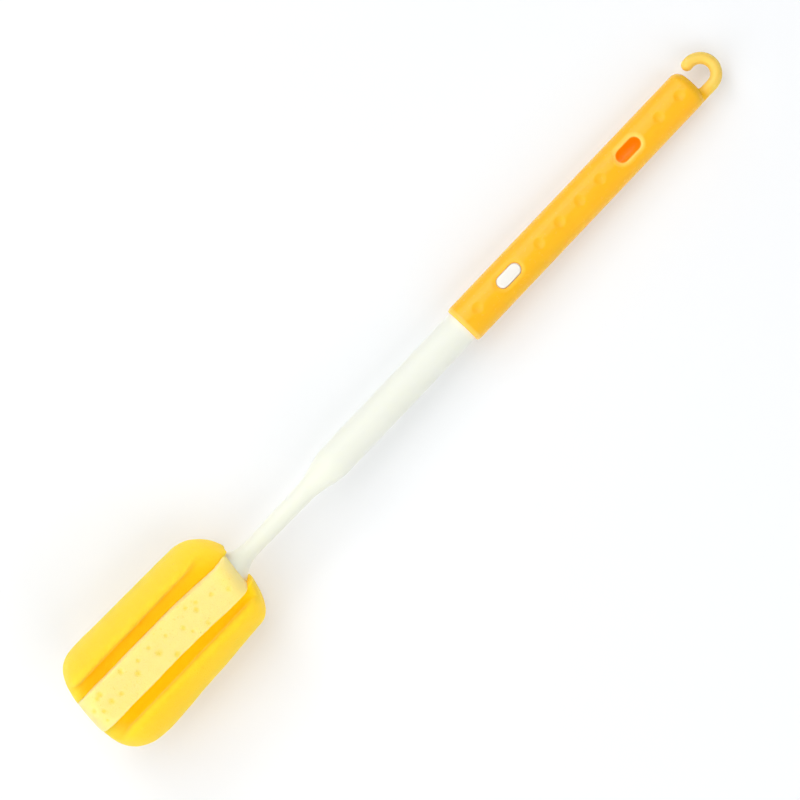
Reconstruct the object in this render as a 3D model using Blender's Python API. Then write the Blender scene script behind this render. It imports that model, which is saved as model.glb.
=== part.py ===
"""Telescoping sponge bottle brush: a foam head on a white rod that slides into a handle.

All sizes are in metres. The brush lies along X, head at -X and hanging hook at +X, with the
lock windows facing +Z. Inside this script a station is a distance along the brush from the
outer end of the head, and y and z are measured from the axis that the rod and handle share.
"""

import math

import bmesh
import bpy
from mathutils import Matrix, Vector

# Fits and clearances
TOUCH_GAP = 0.0003
SLIDE_CLEARANCE = 0.00025
WINDOW_CLEARANCE = 0.00035
CUT_MARGIN = 0.0002

# Foam head: a pale slab between two lobes, all cut from one rounded block
HEAD_LENGTH = 0.098
HEAD_OUTER_DIAMETER = 0.0575
HEAD_NECK_DIAMETER = 0.0545
HEAD_OUTER_DOME = 0.020
HEAD_NECK_DOME = 0.018
DOME_POWER = 2.5
CORE_THICKNESS = 0.019
CORE_FLAT_DROP = 0.00195
CORE_SHORTFALL = 0.0015
CORE_EDGE_RADIUS = 0.0008
GROOVE_WIDTH = 0.0055
GROOVE_DEPTH = 0.0118
GROOVE_FILLET = 0.0015
LIP_RADIUS = 0.005

# Rod: spear in the foam, flange, flare, neck, shoulder and tube
SPEAR_LENGTH = 0.072
SPEAR_ROOT_RADIUS = 0.0042
SPEAR_TIP_RADIUS = 0.0032
BARB_COUNT = 4
BARB_PITCH = 0.013
BARB_HEIGHT = 0.0012
BARB_SLOPE = 0.005
BARB_BACK = 0.0002
SPEAR_NOSE_LENGTH = 0.0026
SPEAR_NOSE_RADIUS = 0.0014
FLANGE_DIAMETER = 0.018
FLANGE_RIM = 0.0014
FLANGE_EDGE = 0.00035
FLANGE_SEAT_DEPTH = 0.0022
FLARE_LENGTH = 0.0132
FLARE_POWER = 2.2
NECK_LENGTH = 0.034
NECK_START_DIAMETER = 0.0082
NECK_END_DIAMETER = 0.0094
SHOULDER_LENGTH = 0.022
ROD_DIAMETER = 0.0166
ROD_WALL = 0.0015
SHOULDER_STANDOFF = 0.0051
TAIL_CHAMFER = 0.0006
TAIL_CLEARANCE = 0.0072

# Travel of the rod in the handle, which is the distance between the two windows
SLIDE_TRAVEL = 0.080

# Handle
HANDLE_WALL = 0.0012
HANDLE_TAPER = 0.0006
HANDLE_END_WALL = 0.006
HANDLE_REAR_LENGTH = 0.0432
WINDOW_SET_BACK = 0.0311
WINDOW_LENGTH = 0.0142
WINDOW_WIDTH = 0.0065
WINDOW_CHAMFER_WIDTH = 0.0016
WINDOW_CHAMFER_DEPTH = 0.0009
MOUTH_CHAMFER_LENGTH = 0.0018
MOUTH_CHAMFER_HEIGHT = 0.0006
END_CORNER_LENGTH = 0.0040
END_CORNER_HEIGHT = 0.0038
DIMPLE_DIAMETER = 0.0056
DIMPLE_DEPTH = 0.00045
DIMPLE_PITCH = 0.0136
DIMPLE_SET_BACK = 0.0205
DIMPLE_WINDOW_MARGIN = 0.017
DIMPLE_END_MARGIN = 0.008

# Hanging hook, bent from the end face into an open ring
HOOK_STOCK = 0.0053
HOOK_OUTER_DIAMETER = 0.0198
HOOK_INSET = 0.00015
HOOK_STEM = 0.0058
HOOK_ROOT_DEPTH = 0.0048
HOOK_SWEEP = math.radians(190)

# Lock button and its strip spring
BUTTON_PROUD = 0.00035
BUTTON_EDGE = 0.0006
PRESS_CLEARANCE = 0.0006
COLLAR_LIP = 0.0010
COLLAR_THICKNESS = 0.0020
PEG_DIAMETER = 0.0020
PEG_LENGTH = 0.0012
PEG_ROOT_DEPTH = 0.0005
SPRING_THICKNESS = 0.0004
SPRING_WIDTH = 0.0050
SPRING_REACH = 0.022
SPRING_OVERHANG = 0.004
SPRING_BEND_RADIUS = 0.0016

# Facets
SHARP_ANGLE = math.radians(32)
HEAD_SIDES = 40
TUBE_SIDES = 40
SPEAR_SIDES = 24
DOME_STEPS = 7
SLOT_STEPS = 8
PEG_SIDES = 12
HOOK_SIDES = 14
HOOK_STEPS = 19
HOOK_TIP_STEPS = 3
FLARE_STEPS = 6
SHOULDER_STEPS = 8
SEAT_STEPS = 4
CORNER_STEPS = 4

# Sizes that follow from the ones above
CORE_HALF_HEIGHT = HEAD_OUTER_DIAMETER / 2 - CORE_FLAT_DROP
CORE_HALF_THICKNESS = CORE_THICKNESS / 2
GROOVE_FLOOR = CORE_HALF_HEIGHT - GROOVE_DEPTH
LOBE_INNER = CORE_HALF_THICKNESS + TOUCH_GAP
LOBE_WALL = CORE_HALF_THICKNESS + GROOVE_WIDTH

FLANGE_FRONT = HEAD_LENGTH - FLANGE_SEAT_DEPTH
FLANGE_BACK = FLANGE_FRONT - FLANGE_RIM / 2
NECK_START = FLANGE_FRONT + FLARE_LENGTH
SHOULDER_START = NECK_START + NECK_LENGTH
SHOULDER_END = SHOULDER_START + SHOULDER_LENGTH
MOUTH = SHOULDER_END + SLIDE_TRAVEL + SHOULDER_STANDOFF
WINDOW_OUT = MOUTH + WINDOW_SET_BACK
WINDOW_IN = WINDOW_OUT + SLIDE_TRAVEL
HANDLE_END = WINDOW_IN + HANDLE_REAR_LENGTH
BORE_END = HANDLE_END - HANDLE_END_WALL
ROD_TAIL = BORE_END - SLIDE_TRAVEL - TAIL_CLEARANCE

ROD_RADIUS = ROD_DIAMETER / 2
ROD_BORE = ROD_RADIUS - ROD_WALL
HANDLE_BORE = ROD_RADIUS + SLIDE_CLEARANCE
HANDLE_RADIUS = HANDLE_BORE + HANDLE_WALL
HANDLE_END_RADIUS = HANDLE_RADIUS - HANDLE_TAPER / 2

HOOK_RING = (HOOK_OUTER_DIAMETER - HOOK_STOCK) / 2
HOOK_CENTRE_X = HANDLE_END + HOOK_STEM
HOOK_CENTRE_Y = HOOK_OUTER_DIAMETER / 2 - HANDLE_END_RADIUS + HOOK_INSET
OVERALL_LENGTH = HOOK_CENTRE_X + HOOK_OUTER_DIAMETER / 2

BUTTON_LENGTH = WINDOW_LENGTH - 2 * WINDOW_CLEARANCE
BUTTON_WIDTH = WINDOW_WIDTH - 2 * WINDOW_CLEARANCE
BUTTON_CROWN = HANDLE_RADIUS + BUTTON_PROUD
PRESS_TRAVEL = BUTTON_CROWN - HANDLE_BORE + PRESS_CLEARANCE
ROD_HOLE_LENGTH = BUTTON_LENGTH + 2 * TOUCH_GAP
ROD_HOLE_WIDTH = BUTTON_WIDTH + 2 * TOUCH_GAP
COLLAR_CROWN = ROD_BORE - TOUCH_GAP
COLLAR_BOTTOM = COLLAR_CROWN - COLLAR_THICKNESS
COLLAR_LENGTH = ROD_HOLE_LENGTH + 2 * COLLAR_LIP
COLLAR_WIDTH = ROD_HOLE_WIDTH + 2 * COLLAR_LIP
SPRING_TOP = COLLAR_BOTTOM - TOUCH_GAP
SPRING_FLOOR = -math.sqrt(ROD_BORE**2 - (SPRING_WIDTH / 2) ** 2) + TOUCH_GAP


def clear_scene():
    """Removes what a new file holds, so that only the brush is left."""
    for obj in list(bpy.data.objects):
        bpy.data.objects.remove(obj)


def make_material(name, colour, roughness, metallic=0.0):
    """A plain Principled finish in the piece's own colour."""
    material = bpy.data.materials.new(name)
    material.use_nodes = True
    shader = material.node_tree.nodes["Principled BSDF"]
    shader.inputs["Base Color"].default_value = (*colour, 1.0)
    shader.inputs["Roughness"].default_value = roughness
    shader.inputs["Metallic"].default_value = metallic
    return material


def make_empty(name, point, reach, parent=None):
    """An empty that carries pieces and marks a joint's axis, with arms as long as its reach."""
    empty = bpy.data.objects.new(name, None)
    bpy.context.scene.collection.objects.link(empty)
    empty.empty_display_size = reach
    empty.parent = parent
    empty.location = point
    return empty


def make_shading_tree():
    """Geometry nodes that shade a piece smooth after its Booleans, but for edges over SHARP_ANGLE."""
    tree = bpy.data.node_groups.new("smooth_by_angle", "GeometryNodeTree")
    tree.interface.new_socket("Geometry", in_out="INPUT", socket_type="NodeSocketGeometry")
    tree.interface.new_socket("Geometry", in_out="OUTPUT", socket_type="NodeSocketGeometry")
    source = tree.nodes.new("NodeGroupInput")
    angle = tree.nodes.new("GeometryNodeInputMeshEdgeAngle")
    sharp = tree.nodes.new("FunctionNodeCompare")
    sharp.operation = "GREATER_THAN"
    sharp.inputs["B"].default_value = SHARP_ANGLE
    faces = tree.nodes.new("GeometryNodeSetShadeSmooth")
    edges = tree.nodes.new("GeometryNodeSetShadeSmooth")
    edges.domain = "EDGE"
    edges.inputs["Shade Smooth"].default_value = False
    result = tree.nodes.new("NodeGroupOutput")
    tree.links.new(source.outputs["Geometry"], faces.inputs["Geometry"])
    tree.links.new(angle.outputs["Unsigned Angle"], sharp.inputs["A"])
    tree.links.new(sharp.outputs["Result"], edges.inputs["Selection"])
    tree.links.new(faces.outputs["Geometry"], edges.inputs["Geometry"])
    tree.links.new(edges.outputs["Geometry"], result.inputs["Geometry"])
    return tree


def make_object(name, bm, parent):
    """Turns a bmesh in brush coordinates into an object under the brush's axis."""
    bmesh.ops.recalc_face_normals(bm, faces=bm.faces[:])
    mesh = bpy.data.meshes.new(name)
    bm.to_mesh(mesh)
    bm.free()
    obj = bpy.data.objects.new(name, mesh)
    bpy.context.scene.collection.objects.link(obj)
    obj.parent = parent
    return obj


def make_cutter(name, bm, parent):
    """A helper shape for a Boolean, left out of renders."""
    obj = make_object(name, bm, parent)
    obj.hide_render = True
    obj.display_type = "WIRE"
    return obj


def boolean(obj, other, operation):
    """Cuts, joins or crosses obj with another shape."""
    modifier = obj.modifiers.new(other.name, "BOOLEAN")
    modifier.object = other
    modifier.operation = operation
    modifier.solver = "EXACT"


def carry(obj, parent, point):
    """Moves obj's origin to a point on its joint's axis and hangs it on the joint's empty there."""
    obj.data.transform(Matrix.Translation(-Vector(point)))
    obj.parent = parent


def turned(profile, sides):
    """A solid turned about the axis, from (station, radius) points that start and end on it."""
    bm = bmesh.new()
    points = [bm.verts.new((station, 0, radius)) for station, radius in profile]
    for first, second in zip(points, points[1:]):
        bm.edges.new((first, second))
    bmesh.ops.spin(
        bm,
        geom=bm.verts[:] + bm.edges[:],
        cent=(0, 0, 0),
        axis=(1, 0, 0),
        angle=math.tau,
        steps=sides,
        use_merge=True,
    )
    bmesh.ops.remove_doubles(bm, verts=bm.verts[:], dist=1e-6)
    return bm


def prism(outline, start, end):
    """A solid between two stations, with an outline of (y, z) points."""
    bm = bmesh.new()
    face = bm.faces.new([bm.verts.new((start, y, z)) for y, z in outline])
    extruded = bmesh.ops.extrude_face_region(bm, geom=[face])["geom"]
    moved = [item for item in extruded if isinstance(item, bmesh.types.BMVert)]
    bmesh.ops.translate(bm, verts=moved, vec=(end - start, 0, 0))
    return bm


def slot_outline(centre, length, width):
    """Points round an obround slot in plan, with its long side along the brush."""
    straight = (length - width) / 2
    points = []
    for side in (1, -1):
        for step in range(SLOT_STEPS + 1):
            angle = math.pi * (step / SLOT_STEPS - 0.5)
            x = centre + side * (straight + math.cos(angle) * width / 2)
            points.append((x, side * math.sin(angle) * width / 2))
    return points


def add_loft(bm, outlines):
    """Adds a column to bm, lofted from the lowest outline of points to the highest."""
    rings = [[bm.verts.new(point) for point in outline] for outline in outlines]
    for lower, upper in zip(rings, rings[1:]):
        for i in range(len(lower)):
            j = (i + 1) % len(lower)
            bm.faces.new((lower[i], lower[j], upper[j], upper[i]))
    bm.faces.new(rings[0][::-1])
    bm.faces.new(rings[-1])


def add_slot(bm, centre, levels):
    """Adds an obround column to bm, lofted through (height, length, width) levels."""
    outlines = []
    for height, length, width in levels:
        outline = slot_outline(centre, length, width)
        outlines.append([(x, y, height) for x, y in outline])
    add_loft(bm, outlines)


def arc(centre, radius, start, end, steps):
    """Points (y, z) along a circular arc, with its angles in degrees."""
    points = []
    for step in range(steps + 1):
        angle = math.radians(start + (end - start) * step / steps)
        points.append(
            (centre[0] + radius * math.cos(angle), centre[1] + radius * math.sin(angle))
        )
    return points


def head_profile(length):
    """Outline of the rounded foam block: a superellipse dome at each end of a slight cone."""
    outer = HEAD_OUTER_DIAMETER / 2
    neck = HEAD_NECK_DIAMETER / 2
    power = 2 / DOME_POWER
    points = []
    for step in range(DOME_STEPS + 1):
        angle = math.pi / 2 * step / DOME_STEPS
        along = 1 - math.cos(angle) ** power if step < DOME_STEPS else 1
        points.append((HEAD_OUTER_DOME * along, outer * math.sin(angle) ** power))
    for step in range(DOME_STEPS, -1, -1):
        angle = math.pi / 2 * step / DOME_STEPS
        along = 1 - math.cos(angle) ** power if step < DOME_STEPS else 1
        points.append((length - HEAD_NECK_DOME * along, neck * math.sin(angle) ** power))
    return points


def core_outline():
    """Cross-section of the pale slab: flat faces above and below, with small rounded edges."""
    y = CORE_HALF_THICKNESS - CORE_EDGE_RADIUS
    z = CORE_HALF_HEIGHT - CORE_EDGE_RADIUS
    corners = (((y, z), 0), ((-y, z), 90), ((-y, -z), 180), ((y, -z), 270))
    points = []
    for centre, start in corners:
        points += arc(centre, CORE_EDGE_RADIUS, start, start + 90, 2)
    return points


def lobe_outline():
    """Cross-section of a lobe, y outwards: web, groove floor, fillet, wall and rounded lip."""
    lip = (LOBE_WALL + LIP_RADIUS, CORE_HALF_HEIGHT - LIP_RADIUS - CORE_FLAT_DROP)
    fillet = (LOBE_WALL - GROOVE_FILLET, GROOVE_FLOOR + GROOVE_FILLET)
    outside = HEAD_OUTER_DIAMETER
    upper = [(LOBE_INNER, GROOVE_FLOOR)]
    upper += arc(fillet, GROOVE_FILLET, 270, 360, 3)
    upper += arc(lip, LIP_RADIUS, 180, 90, 5)
    upper += [(outside, lip[1] + LIP_RADIUS)]
    return upper + [(y, -z) for y, z in reversed(upper)]


def barb_profile(offset):
    """Outline of the barbed spear from its tip to the flange, grown outwards by an offset."""
    tip = FLANGE_BACK - SPEAR_LENGTH
    slope = (SPEAR_ROOT_RADIUS - SPEAR_TIP_RADIUS) / SPEAR_LENGTH

    def shaft(station):
        return SPEAR_TIP_RADIUS + slope * (station - tip) + offset

    points = [(tip - offset, 0), (tip - offset, SPEAR_NOSE_RADIUS + offset)]
    points.append((tip + SPEAR_NOSE_LENGTH, shaft(tip)))
    for barb in range(BARB_COUNT):
        crest = FLANGE_BACK - BARB_PITCH * (BARB_COUNT - barb)
        points.append((crest - BARB_SLOPE, shaft(crest - BARB_SLOPE)))
        points.append((crest + offset, shaft(crest) + BARB_HEIGHT))
        points.append((crest + offset + BARB_BACK, shaft(crest + offset)))
    return points


def seat_profile():
    """The shallow cup in the foam's neck end that holds the flange, flaring to the block's end."""
    floor = FLANGE_BACK - TOUCH_GAP
    edge = FLANGE_DIAMETER / 2 + 2 * TOUCH_GAP
    depth = HEAD_LENGTH - floor
    points = [(floor, 0), (floor, edge)]
    for step in range(1, SEAT_STEPS + 1):
        part = step / SEAT_STEPS
        points.append((floor + depth * part, edge + depth * part**2))
    return points + [(HEAD_LENGTH + depth, edge + 2 * depth), (HEAD_LENGTH + depth, 0)]


def rod_profile():
    """Outline of the rod: spear, flange, flare, neck, shoulder and tube, then back by its bore."""
    points = barb_profile(0)
    points.append((FLANGE_BACK, SPEAR_ROOT_RADIUS))
    rim = FLANGE_DIAMETER / 2
    neck = NECK_START_DIAMETER / 2
    points.append((FLANGE_BACK, rim - FLANGE_EDGE))
    points.append((FLANGE_BACK + FLANGE_EDGE, rim))
    points.append((FLANGE_FRONT, rim))
    for step in range(FLARE_STEPS + 1):
        part = step / FLARE_STEPS
        flare = (rim - FLANGE_EDGE - neck) * (1 - part) ** FLARE_POWER
        station = FLANGE_FRONT + FLANGE_EDGE
        points.append((station + (NECK_START - station) * part, neck + flare))
    neck_end = NECK_END_DIAMETER / 2
    for step in range(SHOULDER_STEPS + 1):
        part = step / SHOULDER_STEPS
        rise = (1 - math.cos(math.pi * part)) / 2
        station = SHOULDER_START + SHOULDER_LENGTH * part
        points.append((station, neck_end + (ROD_RADIUS - neck_end) * rise))
    points.append((ROD_TAIL - TAIL_CHAMFER, ROD_RADIUS))
    points.append((ROD_TAIL, ROD_RADIUS - TAIL_CHAMFER))
    points.append((ROD_TAIL, ROD_BORE))
    points.append((SHOULDER_END + ROD_WALL, ROD_BORE))
    points.append((SHOULDER_END, ROD_BORE - ROD_WALL))
    points.append((SHOULDER_END, 0))
    return points


def handle_profile():
    """Outline of the handle: bore, rounded mouth, tapered outside and rounded closed end."""
    points = [(BORE_END, 0), (BORE_END, HANDLE_BORE), (MOUTH, HANDLE_BORE)]
    for step in range(CORNER_STEPS + 1):
        angle = math.pi / 2 * step / CORNER_STEPS
        station = MOUTH + MOUTH_CHAMFER_LENGTH * (1 - math.cos(angle))
        radius = HANDLE_RADIUS - MOUTH_CHAMFER_HEIGHT * (1 - math.sin(angle))
        points.append((station, radius))
    for step in range(CORNER_STEPS + 1):
        angle = math.pi / 2 * step / CORNER_STEPS
        station = HANDLE_END - END_CORNER_LENGTH * (1 - math.sin(angle))
        radius = HANDLE_END_RADIUS - END_CORNER_HEIGHT * (1 - math.cos(angle))
        points.append((station, radius))
    return points + [(HANDLE_END, 0)]


def outer_radius(station):
    """Radius of the tapered outside of the handle at a station."""
    part = (station - MOUTH) / (HANDLE_END - MOUTH)
    return HANDLE_RADIUS + (HANDLE_END_RADIUS - HANDLE_RADIUS) * part


def dimple_stations():
    """Thumb dimples in front of, between and behind the two windows."""
    stations = []
    runs = (
        (WINDOW_OUT - DIMPLE_SET_BACK, MOUTH + DIMPLE_END_MARGIN, -DIMPLE_PITCH),
        (WINDOW_OUT + DIMPLE_SET_BACK, WINDOW_IN - DIMPLE_WINDOW_MARGIN, DIMPLE_PITCH),
        (WINDOW_IN + DIMPLE_SET_BACK, HANDLE_END - DIMPLE_END_MARGIN, DIMPLE_PITCH),
    )
    for start, limit, step in runs:
        for number in range(int((limit - start) / step) + 1):
            stations.append(start + number * step)
    return stations


def add_window(bm, station):
    """Adds one window's cutter to bm, with a chamfer that follows the handle's round outside."""
    radius = outer_radius(station)
    slope = WINDOW_CHAMFER_WIDTH / WINDOW_CHAMFER_DEPTH
    grown = 2 * (WINDOW_CHAMFER_WIDTH + CUT_MARGIN * slope)
    inner = slot_outline(station, WINDOW_LENGTH, WINDOW_WIDTH)
    outer = slot_outline(station, WINDOW_LENGTH + grown, WINDOW_WIDTH + grown)

    def surface(y):
        return math.sqrt(radius**2 - y**2)

    outlines = (
        [(x, y, HANDLE_BORE / 2) for x, y in inner],
        [(x, y, surface(y) - WINDOW_CHAMFER_DEPTH) for x, y in inner],
        [(x, y, surface(y) + CUT_MARGIN) for x, y in outer],
        [(x, y, radius + 2 * WINDOW_CHAMFER_DEPTH) for x, y in outer],
    )
    add_loft(bm, outlines)


def add_dimple(bm, station):
    """Adds a ball to bm that sinks one dimple into the handle's top line."""
    half = DIMPLE_DIAMETER / 2
    ball = (half**2 + DIMPLE_DEPTH**2) / (2 * DIMPLE_DEPTH)
    height = outer_radius(station) - DIMPLE_DEPTH + ball
    place = Matrix.Translation((station, 0, height))
    bmesh.ops.create_uvsphere(bm, u_segments=16, v_segments=28, radius=ball, matrix=place)


def hook_bmesh():
    """Round stock that leaves the end face, bends round an open ring and ends in a rounded tip."""
    bottom = HOOK_CENTRE_Y - HOOK_RING
    half = HOOK_STOCK / 2
    root = HANDLE_END - HOOK_ROOT_DEPTH
    centres = [((root, bottom), 0, half), ((HANDLE_END, bottom), 0, half)]
    for step in range(HOOK_STEPS + 1):
        turn = HOOK_SWEEP * step / HOOK_STEPS
        x = HOOK_CENTRE_X + HOOK_RING * math.sin(turn)
        y = HOOK_CENTRE_Y - HOOK_RING * math.cos(turn)
        centres.append(((x, y), turn, half))
    (x, y), turn, _ = centres[-1]
    for step in range(1, HOOK_TIP_STEPS):
        angle = math.pi / 2 * step / HOOK_TIP_STEPS
        reach = half * math.sin(angle)
        point = (x + reach * math.cos(turn), y + reach * math.sin(turn))
        centres.append((point, turn, half * math.cos(angle)))
    tip = (x + half * math.cos(turn), y + half * math.sin(turn), 0)

    bm = bmesh.new()
    rings = []
    for (x, y), turn, radius in centres:
        ring = []
        for side in range(HOOK_SIDES):
            angle = math.tau * side / HOOK_SIDES
            out = radius * math.cos(angle)
            point = (x + out * math.sin(turn), y - out * math.cos(turn), radius * math.sin(angle))
            ring.append(bm.verts.new(point))
        rings.append(ring)
    for first, second in zip(rings, rings[1:]):
        for i in range(HOOK_SIDES):
            j = (i + 1) % HOOK_SIDES
            bm.faces.new((first[i], first[j], second[j], second[i]))
    bm.faces.new(rings[0])
    end = bm.verts.new(tip)
    for i in range(HOOK_SIDES):
        bm.faces.new((rings[-1][i], rings[-1][(i + 1) % HOOK_SIDES], end))
    return bm


def spring_path():
    """Centre line (station, z) of the strip spring: leg on the bore, bend, leg to the button."""
    low = SPRING_FLOOR + SPRING_THICKNESS / 2
    high = SPRING_TOP - SPRING_THICKNESS / 2
    end = WINDOW_OUT + SPRING_OVERHANG
    bend = end - SPRING_REACH
    centre = (bend, low + SPRING_BEND_RADIUS)
    points = [(end, low)]
    points += arc(centre, SPRING_BEND_RADIUS, 270, 110, 6)
    flat_start = WINDOW_OUT - SPRING_OVERHANG
    points += [(flat_start, high), (end, high)]
    return points


def strip_bmesh(path, thickness, width):
    """A flat strip of even thickness that follows a path in the X Z plane."""
    sides = ([], [])
    for i, point in enumerate(path):
        before = Vector(path[max(i - 1, 0)])
        after = Vector(path[min(i + 1, len(path) - 1)])
        here = Vector(point)
        first = (here - before).normalized() if i else (after - here).normalized()
        second = (after - here).normalized() if i < len(path) - 1 else first
        along = (first + second).normalized()
        normal = Vector((-along.y, along.x)) * (thickness / 2 / max(along.dot(first), 0.5))
        sides[0].append(here + normal)
        sides[1].append(here - normal)
    bm = bmesh.new()
    outline = sides[0] + sides[1][::-1]
    face = bm.faces.new([bm.verts.new((p.x, -width / 2, p.y)) for p in outline])
    extruded = bmesh.ops.extrude_face_region(bm, geom=[face])["geom"]
    moved = [item for item in extruded if isinstance(item, bmesh.types.BMVert)]
    bmesh.ops.translate(bm, verts=moved, vec=(0, width, 0))
    return bm


def add_peg(bm, radius, low, high):
    """Adds an upright round peg at the button's place to bm."""
    place = Matrix.Translation((WINDOW_OUT, 0, (low + high) / 2))
    bmesh.ops.create_cone(
        bm,
        cap_ends=True,
        segments=PEG_SIDES,
        radius1=radius,
        radius2=radius,
        depth=high - low,
        matrix=place,
    )


def build_foam(axis, seat):
    """The pale slab and its two lobes, each crossed with its own outline."""
    ends = (-HEAD_OUTER_DOME, HEAD_LENGTH + HEAD_NECK_DOME)
    block = turned(head_profile(HEAD_LENGTH - CORE_SHORTFALL), HEAD_SIDES)
    core = make_object("foam_core", block, axis)
    boolean(core, make_cutter("core_cutter", prism(core_outline(), *ends), axis), "INTERSECT")
    boolean(core, seat, "DIFFERENCE")
    bore = barb_profile(TOUCH_GAP)
    bore += [(HEAD_LENGTH, SPEAR_ROOT_RADIUS + TOUCH_GAP), (HEAD_LENGTH, 0)]
    boolean(core, make_cutter("spear_bore_cutter", turned(bore, SPEAR_SIDES), axis), "DIFFERENCE")

    lobes = []
    for side, name in ((1, "foam_lobe_left"), (-1, "foam_lobe_right")):
        outline = [(side * y, z) for y, z in lobe_outline()]
        lobe = make_object(name, turned(head_profile(HEAD_LENGTH), HEAD_SIDES), axis)
        boolean(lobe, make_cutter(name + "_cutter", prism(outline, *ends), axis), "INTERSECT")
        boolean(lobe, seat, "DIFFERENCE")
        lobes.append(lobe)
    return core, lobes


def build_rod(axis):
    """The telescoping rod with the hole that its button comes out of."""
    rod = make_object("rod", turned(rod_profile(), TUBE_SIDES), axis)
    heights = (ROD_BORE / 2, ROD_DIAMETER)
    bm = bmesh.new()
    add_slot(bm, WINDOW_OUT, [(z, ROD_HOLE_LENGTH, ROD_HOLE_WIDTH) for z in heights])
    boolean(rod, make_cutter("rod_hole_cutter", bm, axis), "DIFFERENCE")
    return rod


def build_handle(axis):
    """The handle with its hook, windows and dimples."""
    handle = make_object("handle", turned(handle_profile(), TUBE_SIDES), axis)
    boolean(handle, make_cutter("hook_shape", hook_bmesh(), axis), "UNION")
    windows = bmesh.new()
    for station in (WINDOW_OUT, WINDOW_IN):
        add_window(windows, station)
    boolean(handle, make_cutter("window_cutter", windows, axis), "DIFFERENCE")
    dimples = bmesh.new()
    for station in dimple_stations():
        add_dimple(dimples, station)
    boolean(handle, make_cutter("dimple_cutter", dimples, axis), "DIFFERENCE")
    return handle


def build_button(axis):
    """The lock button: crowned obround top, collar under the rod's wall, peg for the spring."""
    low = (COLLAR_BOTTOM + COLLAR_CROWN) / 2
    top = BUTTON_CROWN + BUTTON_EDGE
    edge_start = BUTTON_CROWN - 2 * BUTTON_EDGE
    shrink = 3 * BUTTON_EDGE
    bm = bmesh.new()
    add_slot(
        bm,
        WINDOW_OUT,
        (
            (low, BUTTON_LENGTH, BUTTON_WIDTH),
            (edge_start, BUTTON_LENGTH, BUTTON_WIDTH),
            (top, BUTTON_LENGTH - shrink, BUTTON_WIDTH - shrink),
        ),
    )
    button = make_object("lock_button", bm, axis)
    reach = WINDOW_OUT - COLLAR_LENGTH, WINDOW_OUT + COLLAR_LENGTH
    crown = [(reach[0], 0), (reach[0], BUTTON_CROWN), (reach[1], BUTTON_CROWN), (reach[1], 0)]
    rounded = make_cutter("button_crown_cutter", turned(crown, 2 * TUBE_SIDES), axis)
    boolean(button, rounded, "INTERSECT")

    bm = bmesh.new()
    add_slot(
        bm,
        WINDOW_OUT,
        ((COLLAR_BOTTOM, COLLAR_LENGTH, COLLAR_WIDTH), (ROD_BORE, COLLAR_LENGTH, COLLAR_WIDTH)),
    )
    collar = make_cutter("button_collar_shape", bm, axis)
    inside = [(reach[0], 0), (reach[0], COLLAR_CROWN), (reach[1], COLLAR_CROWN), (reach[1], 0)]
    rounded = make_cutter("collar_crown_cutter", turned(inside, TUBE_SIDES), axis)
    boolean(collar, rounded, "INTERSECT")
    boolean(button, collar, "UNION")

    bm = bmesh.new()
    peg_ends = COLLAR_BOTTOM - PEG_LENGTH, COLLAR_BOTTOM + PEG_ROOT_DEPTH
    add_peg(bm, PEG_DIAMETER / 2, *peg_ends)
    boolean(button, make_cutter("button_peg_shape", bm, axis), "UNION")
    return button


def build_spring(axis):
    """The folded strip spring under the button, with a hole that the button's peg sits in."""
    strip = strip_bmesh(spring_path(), SPRING_THICKNESS, SPRING_WIDTH)
    spring = make_object("lock_spring", strip, axis)
    bm = bmesh.new()
    hole = PEG_DIAMETER / 2 + TOUCH_GAP
    add_peg(bm, hole, SPRING_TOP - 2 * PEG_LENGTH, SPRING_TOP + PEG_LENGTH)
    boolean(spring, make_cutter("spring_hole_cutter", bm, axis), "DIFFERENCE")
    return spring


def main():
    """Builds every piece and hangs the moving ones on their joints."""
    clear_scene()
    foam_yellow = make_material("foam_yellow", (1.0, 0.62, 0.04), 0.95)
    foam_pale = make_material("foam_pale", (0.95, 0.80, 0.28), 0.95)
    handle_yellow = make_material("handle_yellow", (1.0, 0.45, 0.02), 0.35)
    rod_white = make_material("rod_white", (0.87, 0.88, 0.80), 0.4)
    button_white = make_material("button_white", (0.95, 0.95, 0.92), 0.35)
    spring_steel = make_material("spring_steel", (0.6, 0.6, 0.6), 0.3, 1.0)

    middle = (-OVERALL_LENGTH / 2, 0, CORE_HALF_HEIGHT)
    axis = make_empty("brush_axis", middle, HEAD_OUTER_DIAMETER)
    slide_point = (MOUTH, 0, 0)
    press_point = (WINDOW_OUT, 0, ROD_RADIUS)
    slide = make_empty("rod_slide_axis", slide_point, SLIDE_TRAVEL, axis)
    press_place = Vector(press_point) - Vector(slide_point)
    press = make_empty("button_press_axis", press_place, PRESS_TRAVEL, slide)

    seat = make_cutter("flange_seat_cutter", turned(seat_profile(), HEAD_SIDES), axis)
    core, lobes = build_foam(axis, seat)
    rod = build_rod(axis)
    handle = build_handle(axis)
    button = build_button(axis)
    spring = build_spring(axis)

    for piece in (core, rod, spring, *lobes):
        carry(piece, slide, slide_point)
    carry(button, press, press_point)

    finishes = (
        (handle, handle_yellow),
        (rod, rod_white),
        (button, button_white),
        (spring, spring_steel),
        (core, foam_pale),
        (lobes[0], foam_yellow),
        (lobes[1], foam_yellow),
    )
    shading = make_shading_tree()
    for piece, material in finishes:
        piece.data.materials.append(material)
        piece.modifiers.new("smooth_by_angle", "NODES").node_group = shading


main()
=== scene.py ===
"""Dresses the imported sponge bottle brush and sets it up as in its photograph.

Shapes are made in bench millimetres: stations run along the brush from the outer end of its
foam head, Y to its left and Z up out of the lock windows. Datum carries them into the model.
"""

from __future__ import annotations

import logging
import math
from collections.abc import Callable, Iterator, Sequence
from contextlib import contextmanager
from dataclasses import dataclass
from enum import Enum
from typing import NamedTuple

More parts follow.
